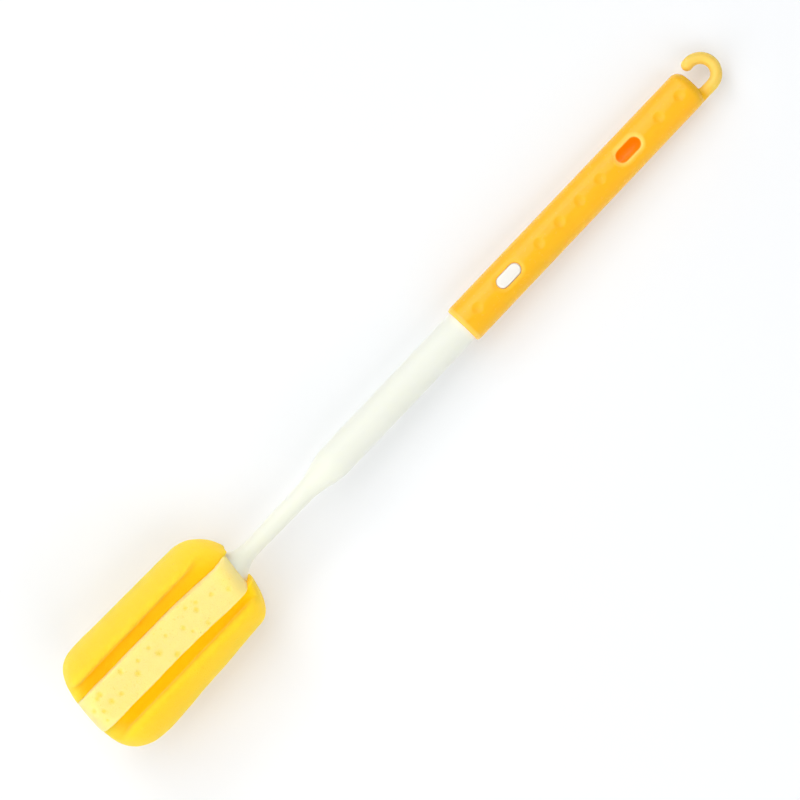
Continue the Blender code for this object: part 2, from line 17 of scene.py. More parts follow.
import bmesh
import bpy
import numpy as np
from bmesh.types import BMesh
from bpy.types import ID, Material, Mesh, NodeSocket, NodeTree, Object
from mathutils import Matrix, Vector


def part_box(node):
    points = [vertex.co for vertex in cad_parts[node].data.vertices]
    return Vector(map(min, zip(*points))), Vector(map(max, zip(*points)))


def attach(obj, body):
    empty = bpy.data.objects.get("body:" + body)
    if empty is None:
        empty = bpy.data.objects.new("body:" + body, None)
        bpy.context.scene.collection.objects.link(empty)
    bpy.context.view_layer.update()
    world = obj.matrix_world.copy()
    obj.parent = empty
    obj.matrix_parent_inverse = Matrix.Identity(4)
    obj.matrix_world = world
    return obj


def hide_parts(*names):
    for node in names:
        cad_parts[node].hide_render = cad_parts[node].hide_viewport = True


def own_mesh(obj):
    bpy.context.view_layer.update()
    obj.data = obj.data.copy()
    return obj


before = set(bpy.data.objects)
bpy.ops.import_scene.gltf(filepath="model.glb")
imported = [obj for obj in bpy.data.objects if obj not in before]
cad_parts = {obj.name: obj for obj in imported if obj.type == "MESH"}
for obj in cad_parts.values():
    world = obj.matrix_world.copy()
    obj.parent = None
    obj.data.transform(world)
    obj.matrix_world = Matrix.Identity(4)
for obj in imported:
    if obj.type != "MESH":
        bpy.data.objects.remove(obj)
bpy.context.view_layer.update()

MM = 0.001
MERGED = 1e-4  # points that lie closer than this, in millimetres, become one
SLACK = 1e-6  # how much of a step rounding may add
HAIR = 1e-3  # the straight side of a round hole's outline, so that no two points meet
FAR = 62.5  # beyond all of the foam, for a wall that a layer doesn't have
AWAY = 9.0  # added to a pore's distance where it isn't wanted
# Attributes that the materials read: a foam pore's depth, which sets its painted shade; where the
# foam gets a painted darker orange and where a painted glow; where the handle gets a painted
# lighter tint; and its bore, which gets a painted glow.
PORE_DEPTH = "pore_depth"
PAINTED_SHADE_SHARE = "groove_share"
GLOW = "glow"
PAINTED_LIGHT_SHARE = "thinness"
PAINTED_BORE_GLOW = "inside"

log = logging.getLogger("brush")

Colour = tuple[float, float, float]
Point2 = tuple[float, float]
Point3 = tuple[float, float, float]
Ring = list[Point3]


class Axis(Enum):
    """The axis that a turn goes about."""

    X = "X_AXIS"
    Z = "Z_AXIS"


class Work(Enum):
    """What is done with a tool's shape."""

    JOIN = "UNION"
    CUT = "DIFFERENCE"


class FoamPart(Enum):
    """The three layers of the foam head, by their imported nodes' names."""

    SLAB = "foam_core"
    LEFT = "foam_lobe_left"
    RIGHT = "foam_lobe_right"


class Layered(NamedTuple):
    """A size that each layer of the foam head has of its own, in FoamPart's order."""

    slab: float
    left: float
    right: float


@dataclass(frozen=True)
class Datum:
    """Where the bench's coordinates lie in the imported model, in metres."""

    start: float
    height: float

    @classmethod
    def from_frame(cls) -> Datum:
        """Reads the head's outer end and the rod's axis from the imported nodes."""
        low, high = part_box("rod")
        return cls(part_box("foam_core")[0].x, (low.z + high.z) / 2)

    def matrix(self) -> Matrix:
        """The change from bench millimetres to the model's metres."""
        return Matrix.Translation((self.start, 0, self.height)) @ Matrix.Scale(MM, 4)

    def station(self, x: float) -> float:
        """How far a place of the model lies along the brush."""
        return (x - self.start) / MM

    def window(self) -> float:
        """The station of the lock button's middle, in the first window."""
        low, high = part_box("lock_button")
        return self.station((low.x + high.x) / 2)


def through(operation: str, *fixed: float, clamp: bool = False) -> Callable[..., Term]:
    """Makes a method that sends a term through one Math node.

    Args:
        operation: the node's operation.
        fixed: values that it always takes.
        clamp: whether the result is kept between 0 and 1.

    Returns:
        The method.
    """

    def method(self: Term, *others: Term | float) -> Term:
        """Adds the node."""
        feeds = dict(enumerate((self, *others, *fixed)))
        return added(self.tree, "ShaderNodeMath", feeds, operation=operation, use_clamp=clamp)

    return method


class Term:
    """A number or a vector on its way through a node tree, written with plain arithmetic."""

    __add__ = through("ADD")
    __sub__ = through("SUBTRACT")
    __mul__ = through("MULTIPLY")
    __truediv__ = through("DIVIDE")
    __pow__ = through("POWER")
    __neg__ = through("MULTIPLY", -1.0)
    __abs__ = through("ABSOLUTE")
    root = through("SQRT")
    at_least = through("MAXIMUM")
    at_most = through("MINIMUM")
    above = through("GREATER_THAN")
    below = through("LESS_THAN")
    unit = through("ADD", 0.0, clamp=True)

    def __init__(self, tree: NodeTree, source: NodeSocket) -> None:
        """Wraps the output socket of the tree that the value comes from."""
        self.tree = tree
        self.source = source

    def eased(self) -> Term:
        """This value between 0 and 1, with soft ends."""
        share = self.unit()
        return share * share * (share * -2.0 + 3.0)

    def split(self) -> tuple[Term, Term, Term]:
        """The three parts of a vector."""
        node = added(self.tree, "ShaderNodeSeparateXYZ", {0: self}).source.node
        return tuple(Term(self.tree, part) for part in node.outputs)

    def shifted(self, other: Term | Point3) -> Term:
        """This vector plus another."""
        return added(self.tree, "ShaderNodeVectorMath", {0: self, 1: other}, operation="ADD")

    def scaled(self, factor: Term | float) -> Term:
        """This vector times a number."""
        feeds = {0: self, "Scale": factor}
        return added(self.tree, "ShaderNodeVectorMath", feeds, operation="SCALE")

    def turned(self, axis: Axis, angle: Term | float, centre: Term | Point3) -> Term:
        """This vector, turned about an axis through a centre."""
        feeds = {"Vector": self, "Center": centre, "Angle": angle}
        return added(self.tree, "ShaderNodeVectorRotate", feeds, rotation_type=axis.value)

    def noise(self, size: float, detail: float = 2.0, roughness: float = 0.5) -> Term:
        """Soft noise of about 0.5 over this position, with lumps of a size and finer layers."""
        feeds = {"Vector": self.scaled(1.0 / size), "Scale": 1.0, "Detail": detail}
        feeds["Roughness"] = roughness
        return added(self.tree, "ShaderNodeTexNoise", feeds, out="Fac")

    def cells(self, size: Term | float) -> tuple[Term, Term]:
        """The distance to the nearest of scattered middles, and that one's random colour."""
        feeds = {"Vector": self.scaled(size**-1.0), "Scale": 1.0}
        distance = added(self.tree, "ShaderNodeTexVoronoi", feeds, out="Distance")
        return distance * size, Term(self.tree, distance.source.node.outputs["Color"])


def feed(slot: NodeSocket, value: Term | float | Sequence[float]) -> None:
    """Links a term to an input socket, or writes a constant on it."""
    if isinstance(value, Term):
        value.tree.links.new(value.source, slot)
    else:
        slot.default_value = value


def added(
    tree: NodeTree, kind: str, feeds: dict, out: int | str = 0, **options: str | bool
) -> Term:
    """Adds one node to a tree.

    Args:
        tree: the tree.
        kind: the node's type.
        feeds: what goes into its inputs, by their names or numbers.
        out: which output is wanted.
        options: its settings.

    Returns:
        The wanted output.
    """
    node = tree.nodes.new(kind)
    for option, value in options.items():
        setattr(node, option, value)
    for label, value in feeds.items():
        slots = [slot for slot in node.inputs if slot.name == label and slot.enabled]
        feed(slots[0] if slots else node.inputs[label], value)
    return Term(tree, node.outputs[out])


def joined(tree: NodeTree, x: Term | float, y: Term | float, z: Term | float) -> Term:
    """A vector made of three numbers."""
    return added(tree, "ShaderNodeCombineXYZ", {"X": x, "Y": y, "Z": z})


def overlap(first: Term, second: Term, radius: Term | float) -> Term:
    """What lies inside both of two distance fields, with the corner between them rounded.

    Args:
        first: one field, negative inside.
        second: the other.
        radius: the corner's radius.

    Returns:
        The distance field of the overlap.
    """
    reach = (first + radius).at_least(0.0), (second + radius).at_least(0.0)
    corner = (reach[0] * reach[0] + reach[1] * reach[1]).root()
    return (first + radius).at_least(second + radius).at_most(0.0) + corner - radius


def labelled(part: object, layer: int = 0) -> dict[str, object]:
    """A part's sizes under its recipe's labels, those of one layer where the layers differ."""
    return {
        name.replace("_", " ").title(): value[layer] if isinstance(value, Layered) else value
        for name, value in vars(part).items()
    }


class Recipe:
    """A Geometry Nodes tree that makes one kind of shape from a blank and named sizes."""

    def __init__(self, name: str) -> None:
        """Starts an empty tree of that name."""
        self.tree = bpy.data.node_groups.new(name, "GeometryNodeTree")
        for way in ("INPUT", "OUTPUT"):
            self._socket("Geometry", way, "Geometry")
        self.source = self.tree.nodes.new("NodeGroupInput")
        self.labels: dict[str, str] = {}
        self.blank = Term(self.tree, self.source.outputs["Geometry"])
        self.place = added(self.tree, "GeometryNodeInputPosition", {})

    def _socket(self, label: str, way: str, kind: str) -> str:
        """Adds an input or output to the tree and gives its identifier."""
        face = self.tree.interface
        return face.new_socket(label, in_out=way, socket_type="NodeSocket" + kind).identifier

    def size(self, label: str, kind: str = "Float") -> Term:
        """An input of the recipe, named as the size that it takes."""
        if label not in self.labels:
            self.labels[label] = self._socket(label, "INPUT", kind)
        return Term(self.tree, self.source.outputs[label])

    def store(self, geometry: Term, name: str, value: Term) -> Term:
        """Writes a value on every point of the mesh under a name."""
        feeds = {"Geometry": geometry, "Name": name, "Value": value}
        return added(self.tree, "GeometryNodeStoreNamedAttribute", feeds, data_type="FLOAT")

    def finish(self, geometry: Term) -> None:
        """Ends the tree with its geometry realised, smooth and dressed."""
        for kind, feeds in (
            ("GeometryNodeRealizeInstances", {}),
            ("GeometryNodeSetShadeSmooth", {"Shade Smooth": True}),
            ("GeometryNodeSetMaterial", {"Material": self.size("Finish", "Material")}),
        ):
            geometry = added(self.tree, kind, {"Geometry": geometry, **feeds})
        feed(self.tree.nodes.new("NodeGroupOutput").inputs["Geometry"], geometry)

    def work(self, blank: Object, sizes: dict[str, object], finish: Material) -> None:
        """Makes a blank into a plain mesh by this recipe, still in bench millimetres.

        Args:
            blank: the object.
            sizes: the value of every named size, and maybe others.
            finish: the material.
        """
        modifier = blank.modifiers.new(self.tree.name, "NODES")
        modifier.node_group = self.tree
        given = {**sizes, "Finish": finish}
        for label, identifier in self.labels.items():
            modifier[identifier] = given[label]
        settle(blank)


def add_object(name: str, data: ID) -> Object:
    """Puts a mesh, lamp or camera into the scene as an object of that name."""
    made = bpy.data.objects.new(name, data)
    bpy.context.scene.collection.objects.link(made)
    return made


def settle(piece: Object) -> None:
    """Turns what an object's modifiers make into its own plain mesh, with no modifier left.

    Args:
        piece: the object.
    """
    graph = bpy.context.evaluated_depsgraph_get()
    mesh = bpy.data.meshes.new_from_object(
        piece.evaluated_get(graph), preserve_all_data_layers=True, depsgraph=graph
    )
    mesh.name = piece.name
    piece.modifiers.clear()
    piece.data = mesh


@contextmanager
def opened(mesh: Mesh) -> Iterator[BMesh]:
    """Opens a mesh for work on its points and faces, and writes it back.

    Args:
        mesh: the mesh.

    Yields:
        The open mesh.
    """
    shape = bmesh.new()
    shape.from_mesh(mesh)
    yield shape
    shape.to_mesh(mesh)
    shape.free()


def keep_largest(mesh: Mesh) -> None:
    """Removes every loose crumb from a mesh, so that one body is left.

    Args:
        mesh: the mesh.
    """
    with opened(mesh) as shape:
        left = set(shape.verts)
        bodies = []
        while left:
            body = edge = {left.pop()}
            while edge:
                edge = {link.other_vert(vert) for vert in edge for link in vert.link_edges} & left
                left -= edge
                body |= edge
            bodies.append(body)
        for crumb in sorted(bodies, key=len)[:-1]:
            bmesh.ops.delete(shape, geom=list(crumb), context="VERTS")


def carve(target: Object, tools: Sequence[tuple[Object, Work]]) -> None:
    """Joins shapes to an object or cuts them from it, which uses them up.

    Args:
        target: the object.
        tools: the shapes and what is done with each.
    """
    for tool, work in tools:
        modifier = target.modifiers.new(tool.name, "BOOLEAN")
        modifier.object, modifier.operation, modifier.solver = tool, work.value, "EXACT"
    settle(target)
    for tool, _ in tools:
        bpy.data.objects.remove(tool)


def loft(name: str, rings: Sequence[Ring]) -> Object:
    """A closed body through rings of points, with its faces outwards.

    Args:
        name: the object's name.
        rings: rings of equally many points, or of one point where the body comes to a tip.

    Returns:
        The body, in bench millimetres.
    """
    mesh = bpy.data.meshes.new(name)
    count = max(len(ring) for ring in rings)
    with opened(mesh) as shape:
        loops = [[shape.verts.new(point) for point in ring] for ring in rings]
        loops = [loop * count if len(loop) == 1 else loop for loop in loops]
        for first, second in zip(loops, loops[1:]):
            for here in range(count):
                after = (here + 1) % count
                corners = (first[here], first[after], second[after], second[here])
                unique = list(dict.fromkeys(corners))
                if len(unique) > 2:
                    shape.faces.new(unique)
        for loop in (loops[0], loops[-1]):
            if len(set(loop)) > 1:
                shape.faces.new(loop)
        bmesh.ops.remove_doubles(shape, verts=shape.verts[:], dist=MERGED)
        bmesh.ops.recalc_face_normals(shape, faces=shape.faces[:])
    return add_object(name, mesh)


def spaced(profile: Sequence[Point2], step: float) -> list[Point2]:
    """Adds points along an outline, so that no stretch of it is longer than a step.

    Args:
        profile: its points.
        step: the longest stretch that is left.

    Returns:
        All points.
    """
    points = [profile[0]]
    for (x0, r0), (x1, r1) in zip(profile, profile[1:]):
        parts = max(1, math.ceil(math.hypot(x1 - x0, r1 - r0) / step - SLACK))
        shares = [part / parts for part in range(1, parts + 1)]
        points += [(x0 + (x1 - x0) * share, r0 + (r1 - r0) * share) for share in shares]
    return points


def spun(profile: Sequence[Point2], sides: int) -> list[Ring]:
    """Turns an outline about the brush's axis.

    Args:
        profile: its (station, radius) points.
        sides: how many sides the body has.

    Returns:
        A ring for each point, of one point where the radius is nothing.
    """
    rings = []
    for x, radius in profile:
        turns = [math.tau * side / sides for side in range(sides if radius > 0 else 1)]
        rings.append([(x, radius * math.sin(turn), radius * math.cos(turn)) for turn in turns])
    return rings


def quarter(steps: int) -> list[Point2]:
    """The cosine and sine at each step of a quarter turn."""
    turns = [math.pi / 2 * step / steps for step in range(steps + 1)]
    return [(math.cos(turn), math.sin(turn)) for turn in turns]


def obround(centre: float, length: float, width: float, steps: int) -> list[Point2]:
    """Points round a slot with round ends, in plan.

    Args:
        centre: its middle's station.
        length: its whole length.
        width: its width.
        steps: how many stretches each end has.

    Returns:
        The (station, y) points.
    """
    points = []
    for side in (1, -1):
        for step in range(steps + 1):
            angle = math.pi * (step / steps - 0.5)
            x = centre + side * ((length - width) / 2 + math.cos(angle) * width / 2)
            points.append((x, side * math.sin(angle) * width / 2))
    return points


def column(outline: Sequence[Point2], low: float, high: float) -> Object:
    """An upright column over an outline in plan, from one height to another."""
    return loft("cutter", [[(x, y, z) for x, y in outline] for z in (low, high)])


def dress(piece: Object, finish: Material, datum: Datum, sharp: float) -> None:
    """Gives a piece its finish, carries it into the model and shades it smooth.

    Args:
        piece: the piece, in bench millimetres.
        finish: its material.
        datum: where the bench lies.
        sharp: the angle in degrees over which an edge stays sharp.
    """
    piece.data.materials.clear()
    piece.data.materials.append(finish)
    piece.data.transform(datum.matrix())
    with opened(piece.data) as shape:
        for face in shape.faces:
            face.smooth = True
        for edge in shape.edges:
            edge.smooth = edge.calc_face_angle(0.0) < math.radians(sharp)


def report(piece: Object) -> None:
    """Logs a finished piece with its size and its count of faces."""
    size = " x ".join(f"{part / MM:.1f}" for part in piece.dimensions)
    log.info("%s: %s mm, %d faces", piece.name, size, len(piece.data.polygons))


class Paint:
    """A material under construction, with its pattern's position in millimetres."""

    def __init__(self, name: str) -> None:
        """Starts a material of that name with one Principled shader."""
        self.material = bpy.data.materials.new(name)
        self.material.use_nodes = True
        self.tree = self.material.node_tree
        self.shader = self.tree.nodes["Principled BSDF"]
        self.place = added(self.tree, "ShaderNodeTexCoord", {}, out="Object").scaled(1 / MM)

    def set(self, **values: Term | float | Sequence[float]) -> Material:
        """Feeds the shader's inputs, named with underscores for spaces."""
        for label, value in values.items():
            feed(self.shader.inputs[label.replace("_", " ")], value)
        return self.material

    def attribute(self, name: str) -> Term:
        """A value from 0 to 1 that the piece's mesh carries."""
        return added(self.tree, "ShaderNodeAttribute", {}, out="Fac", attribute_name=name)

    def mix(self, share: Term | float, first: Term | Colour, second: Term | Colour) -> Term:
        """A colour between two others, which is the second where the share is 1."""
        ends = [end if isinstance(end, Term) else (*end, 1.0) for end in (first, second)]
        feeds = {0: share, 6: ends[0], 7: ends[1]}  # 6, 7 and output 2 are the colours' own
        return added(self.tree, "ShaderNodeMix", feeds, out=2, data_type="RGBA")

    def bump(self, height: Term, depth: float, under: Term | None = None) -> Term:
        """A bumpy normal.

        Args:
            height: the pattern.
            depth: how deep it is.
            under: a normal that it lies on.

        Returns:
            The normal.
        """
        feeds = {"Height": height, "Distance": depth * MM}
        if under:
            feeds["Normal"] = under
        return added(self.tree, "ShaderNodeBump", feeds, out="Normal")


def seen_directly(tree: NodeTree) -> Term:
    """1 for what the camera sees, also in a reflection or glass, and 0 on light's way.

    Args:
        tree: the tree that takes the nodes.

    Returns:
        The share.
    """
    seen = added(tree, "ShaderNodeLightPath", {}, out="Is Camera Ray")
    path = seen.source.node
    for label in ("Is Glossy Ray", "Is Transmission Ray"):
        seen = seen.at_least(Term(tree, path.outputs[label]))
    return seen


@dataclass(frozen=True)
class FoamFinish:
    """Open-cell foam: fine cells, scattered pits and darker pores, with painted shade in their
    recesses and a painted darker orange and glow where the mesh marks grooves, the lower side and
    the neck end.
    """

    name: str
    face: Colour
    hollow: Colour
    # The painted shade's darker orange in the grooves and on the lower side.
    deep: Colour
    pit_share: float = 0.25
    cell: float = 0.55
    cell_wall: float = 1.2
    cell_depth: float = 0.12
    pit_spacing: float = 1.9
    pit_sizes: Point2 = (0.25, 0.2)
    pit_depth: float = 0.2
    mottle: float = 11.0
    grain: float = 0.9
    rough: Point2 = (0.12, 0.84)
    # Shares of painted shade in the pores, pits and the cells' recessed middles; the mottle and
    # grain add random tone.
    pore_shade: float = 0.85
    pit_shade: float = 0.3
    cell_shade: float = 0.10
    mottle_shade: float = 0.35
    grain_shade: float = 0.25
    # The colour and strength of a painted glow, which stands in for light coming through the foam.
    lit_through: Colour = (1.0, 0.52, 0.0)
    lit_share: float = 0.19

    def material(self) -> Material:
        """Builds the foam's material.

        Returns:
            The material.
        """
        paint = Paint(self.name)
        mottle = paint.place.noise(self.mottle, detail=3.0) - 0.5
        grain = paint.place.noise(self.grain, detail=3.0, roughness=0.65)
        distance, _ = paint.place.cells(self.cell)
        wall = (distance / self.cell * self.cell_wall).eased()
        distance, pick = paint.place.cells(self.pit_spacing)
        chosen, size, _ = pick.split()
        reach = size * self.pit_sizes[0] + self.pit_sizes[1]
        pit = (-(distance / self.pit_spacing) / reach + 1.0).unit()
        pit = pit * chosen.below(self.pit_share)
        # Painted shade: pores darken with their depth, and pits and the cells' middles darken
        # where the bumps sink; mottle and grain are random tone.
        shade = paint.attribute(PORE_DEPTH).unit() * self.pore_shade + pit * self.pit_shade
        shade = shade + (-wall + 1.0) * self.cell_shade
        shade = shade + mottle * self.mottle_shade + (grain - 0.5) * self.grain_shade
        grains = paint.bump(grain, self.cell_depth, paint.bump(wall, self.cell_depth))
        face = paint.mix(shade.unit(), self.face, self.hollow)
        # Painted shade: the grooves and the right lobe's lower side turn a darker orange, standing
        # in for shade and light bounced within the foam.
        painted_shade = paint.attribute(PAINTED_SHADE_SHARE).unit()
        return paint.set(
            Base_Color=paint.mix(painted_shade, face, self.deep),
            Roughness=grain * self.rough[0] + self.rough[1],
            Specular_IOR_Level=0.25,
            Sheen_Weight=0.12,
            Sheen_Roughness=0.45,
            Subsurface_Weight=0.75,
            Subsurface_Radius=(1.0, 0.7, 0.3),
            Subsurface_Scale=0.007,
            # Painted light: the grooves, the lower side and the neck end glow as if lit through
            # the foam.
            Emission_Color=(*self.lit_through, 1.0),
            Emission_Strength=(painted_shade + paint.attribute(GLOW)) * self.lit_share,
            Normal=paint.bump(-pit + 1.0, self.pit_depth, grains),
        )


@dataclass(frozen=True)
class PlasticFinish:
    """Moulded polypropylene: satin skin, faint flow clouds and fine rubbing along its length, with
    a painted lighter tint and a painted glow where the mesh marks them.
    """

    name: str
    face: Colour
    cloud: Colour
    # The painted lighter tint of marked places.
    thin: Colour
    gloss: float
    clouds: float = 26.0
    cloud_range: Point2 = (1.6, 0.3)
    stretch: float = 0.04
    scratch: float = 0.55
    scratch_start: float = 0.56
    scratch_slope: float = 6.0
    scratch_depth: float = -0.06
    patch: float = 17.0
    patch_range: Point2 = (2.4, 0.8)
    rub: float = 0.03
    peel: float = 1.6
    peel_rough: float = 0.08
    peel_depth: float = 0.010
    glow: float = 0.6
    reach: float = 0.9
    spread: Colour = (1.0, 0.7, 0.4)
    # The colour and share of a painted glow in the bore, which stands in for light through the
    # wall.
    lit_through: Colour = (1.0, 0.25, 0.002)
    lit_share: float = 0.0

    def material(self) -> Material:
        """Builds the plastic's material.

        Returns:
            The material.
        """
        paint = Paint(self.name)
        peel = paint.place.noise(self.peel)
        x, y, z = paint.place.split()
        drawn = joined(paint.tree, x * self.stretch, y, z)
        rubbed = drawn.noise(self.scratch, detail=3.0, roughness=0.7)
        patches = paint.place.noise(self.patch) * self.patch_range[0] - self.patch_range[1]
        scuffs = ((rubbed - self.scratch_start) * self.scratch_slope).unit() * patches.unit()
        clouds = paint.place.noise(self.clouds, detail=3.0)
        clouds = clouds * self.cloud_range[0] - self.cloud_range[1]
        colour = paint.mix(clouds.unit(), self.face, self.cloud)
        # Painted light: marked places take a lighter tint, standing in for light through the
        # plastic and for highlights.
        colour = paint.mix(paint.attribute(PAINTED_LIGHT_SHARE).unit(), colour, self.thin)
        # Painted light: the bore and the windows' walls glow and turn darker orange, standing in
        # for light through the wall.
        lit = paint.attribute(PAINTED_BORE_GLOW).unit() * self.lit_share
        if self.lit_share:
            paint.set(Emission_Color=(*self.lit_through, 1.0), Emission_Strength=lit)
        return paint.set(
            Base_Color=paint.mix(lit, colour, self.lit_through),
            Roughness=(peel - 0.5) * self.peel_rough + scuffs * self.rub + self.gloss,
            IOR=1.49,
            Specular_IOR_Level=0.28,
            Subsurface_Weight=self.glow,
            Subsurface_Radius=self.spread,
            Subsurface_Scale=self.reach * MM,
            Normal=paint.bump(peel + scuffs * self.scratch_depth, self.peel_depth),
        )


@dataclass(frozen=True)
class SteelFinish:
    """Rolled spring steel with a fine grain along the strip."""

    name: str
    face: Colour
    dark: Colour
    grain: float = 0.12
    grain_stretch: float = 0.05
    grain_depth: float = 0.004
    grain_share: float = 0.6
    stain: float = 3.0
    rough: Point2 = (0.22, 0.2)

    def material(self) -> Material:
        """Builds the steel's material.

        Returns:
            The material.
        """
        paint = Paint(self.name)
        x, y, z = paint.place.split()
        along = joined(paint.tree, x * self.grain_stretch, y, z * self.grain_stretch)
        rolled = along.noise(self.grain, detail=3.0, roughness=0.7)
        stains = paint.place.noise(self.stain) * (1 - self.grain_share)
        stained = (rolled * self.grain_share + stains).unit()
        return paint.set(
            Base_Color=paint.mix(stained, self.face, self.dark),
            Metallic=1.0,
            Roughness=rolled * self.rough[0] + self.rough[1],
            Normal=paint.bump(rolled, self.grain_depth),
        )


@dataclass(frozen=True)
class PaperFinish:
    """White photographer's paper that the camera sees as bright, with the object's shadow."""

    name: str
    face: Colour
    shine: float
    white: float
    fibre: float = 0.8
    fibre_share: float = 0.3
    fibre_shade: float = 0.97

    def material(self) -> Material:
        """Builds the paper's material.

        Returns:
            The material.
        """
        paint = Paint(self.name)
        tree = paint.tree
        shade = tuple(part * self.fibre_shade for part in self.face)
        face = paint.mix(paint.place.noise(self.fibre) * self.fibre_share, self.face, shade)
        feeds = {
            0: seen_directly(tree) * self.shine,
            1: added(tree, "ShaderNodeBsdfDiffuse", {"Color": face}),
            2: added(tree, "ShaderNodeEmission", {"Strength": self.white}),
        }
        mixed = added(tree, "ShaderNodeMixShader", feeds)
        feed(tree.nodes["Material Output"].inputs["Surface"], mixed)
        tree.nodes.remove(paint.shader)
        return paint.material


@dataclass(frozen=True)
class FoamHead:
    """The grooved foam block: a pale porous slab between two yellow lobes."""

    datum: Datum
    outer_end: float = 0.5
    length: float = 99.9
    layer_length: Layered = Layered(96.5, 99.9, 99.9)
    outer_radius: float = 28.75
    neck_radius: float = 27.25
    outer_dome: Layered = Layered(18.0, 16.5, 28.0)
    outer_power: Layered = Layered(3.0, 3.2, 2.7)
    outer_bias: Layered = Layered(0.85, 0.85, 2.0)
    neck_dome: Layered = Layered(13.0, 24.0, 12.5)
    neck_power: Layered = Layered(3.2, 2.0, 2.8)
    neck_bias: Layered = Layered(0.85, 1.4, 1.1)
    side: Layered = Layered(1.0, 1.0, -1.0)
    inner: Layered = Layered(-8.9, 8.55, 8.55)
    outer: Layered = Layered(8.9, FAR, FAR)
    half_height: Layered = Layered(26.8, FAR, FAR)
    edge_radius: Layered = Layered(0.7, 0.2, 0.2)
    groove_wall: Layered = Layered(-FAR, 15.0, 15.0)
    groove_floor: float = 15.0
    groove_fillet: float = 1.5
    lip_radius: float = 5.0
    offset: float = 0.27
    bend: float = 1.85
    bend_start: float = 0.48
    bend_reach: float = 0.42
    roll: float = math.radians(9.6)
    twist: float = math.radians(5.0)
    yaw: float = math.radians(0.4)
    skew: float = 0.13
    skew_rise: float = 0.06
    shift: float = 0.8
    seat_floor: float = 94.8
    seat_radius: float = 9.25
    seat_flare: float = 0.03
    seat_fillet: float = 0.4
    seat_lip: float = 0.7
    bore_tip: float = 22.8
    bore_tip_radius: float = 5.0
    bore_root_radius: float = 5.9
    wave_size: float = 19.0
    wave_height: float = 1.0
    ripple_size: float = 2.6
    ripple_height: float = 0.35
    seed_steps: Point3 = (13.7, 5.3, 7.9)
    solid: Layered = Layered(0.0, 20.0, 20.0)
    pore_depth: float = 0.9
    pore_radius: float = 1.0
    pore_spacing: float = 5.6
    pore_lip: float = 0.25
    pore_skin: float = 0.1
    # How quickly the painted shade in a pore darkens with its depth.
    pore_dark: float = 2.2
    pore_least: float = 0.5
    pore_spread: float = 0.6
    pore_room: Point2 = (2.0, 2.5)
    wobble: float = 1.3
    wobble_sizes: Point2 = (1.3, 1.5)
    seen_share: float = 0.55
    seen_width: float = 1.25
    seen_reach: float = 3.0
    seen_pores: tuple[Point3, ...] = (
        (6.4, -0.8, 1.2), (9.6, -4.1, 1.1), (15.3, -3.5, 1.5), (13.7, 2.5, 1.5), (11.7, 2.1, 1.2),
        (21.0, -4.4, 1.2), (27.8, 2.8, 1.4), (32.8, -3.5, 1.5), (36.9, 0.6, 1.1), (44.5, 1.0, 1.1),
        (46.0, -4.0, 1.6), (51.5, -10.2, 1.6), (7.8, -8.2, 0.9), (39.7, 5.9, 1.1),
        (54.0, -0.9, 0.9), (62.0, -4.2, 1.3), (69.1, 1.4, 1.1), (72.0, -2.7, 1.4),
        (74.3, -0.2, 1.1), (82.0, -2.9, 1.3), (88.8, -6.8, 1.2), (71.3, -10.7, 1.4),
        (63.8, -8.3, 0.9), (67.0, 4.6, 0.8),
    )
    # Painted shade and painted light: where the grooves and the right lobe's lower side turn
    # darker orange, and how much each layer glows in its grooves and at the neck end.
    groove_start: float = 2.5
    groove_drift: float = 5.0
    groove_fade: float = 6.0
    groove_tint: Layered = Layered(0.0, 1.0, 1.0)
    groove_glow: Layered = Layered(0.0, 0.0, 0.9)
    under_start: float = 13.0
    under_fade: float = 9.0
    under_tint: Layered = Layered(0.0, 0.0, 0.5)
    end_start: float = 0.05
    end_fade: float = 0.5
    end_glow: Layered = Layered(0.8, 1.0, 0.4)
    voxel: Layered = Layered(0.5, 0.62, 0.62)
    spare: float = 2.5
    side_spare: float = 4.5
    slab_finish: FoamFinish = FoamFinish(
        "pale_foam", (0.99, 0.805, 0.29), (0.90, 0.72, 0.08), (0.99, 0.72, 0.11)
    )
    lobe_finish: FoamFinish = FoamFinish(
        "yellow_foam", (1.0, 0.68, 0.045), (1.0, 0.60, 0.03), (1.0, 0.57, 0.004), pit_share=0.12
    )

    def recipe(self) -> Recipe:
        """The rule of every foam layer, as a field of distances that is turned into a mesh.

        Returns:
            The Geometry Nodes tree.
        """
        made = Recipe("cut_foam")
        tree, size, place, seed = made.tree, made.size, made.place, made.size("Seed", "Int")
        shape, whole, behind = self._block(made)
        strewn = place.shifted(joined(tree, *(seed * step for step in self.seed_steps)))
        waves = (strewn.noise(self.wave_size) - 0.5) * self.wave_height
        waves = waves + (strewn.noise(self.ripple_size) - 0.5) * self.ripple_height
        shape = self._fitted(made, shape + waves)
        pores = self._pores(made, strewn, shape, whole + waves)
        low, high = size("Low Corner", "Vector"), size("High Corner", "Vector")
        feeds = {"Min": low, "Max": high, "Background": -1.0}
        feeds["Density"] = -overlap(shape, -pores, self.pore_lip)
        for axis, start, end in zip("XYZ", low.split(), high.split()):
            feeds["Resolution " + axis] = (end - start) / size("Voxel")
        cloud = added(tree, "GeometryNodeVolumeCube", feeds)
        mesh = added(tree, "GeometryNodeVolumeToMesh", {"Volume": cloud, "Threshold": 0.0})

        # Painted shade and painted light stored on the mesh: darker orange in the grooves and on
        # the right lobe's lower side, glow there and at the neck end, and pores darkened by their
        # depth.
        groove = -whole - self.groove_start + behind.at_least(0.0) * self.groove_drift
        groove = (groove / self.groove_fade).eased()
        under = (place.split()[1] * size("Side") - self.under_start) / self.under_fade
        painted_shade = groove.at_least(under.eased() * size("Under Tint")) * size("Groove Tint")
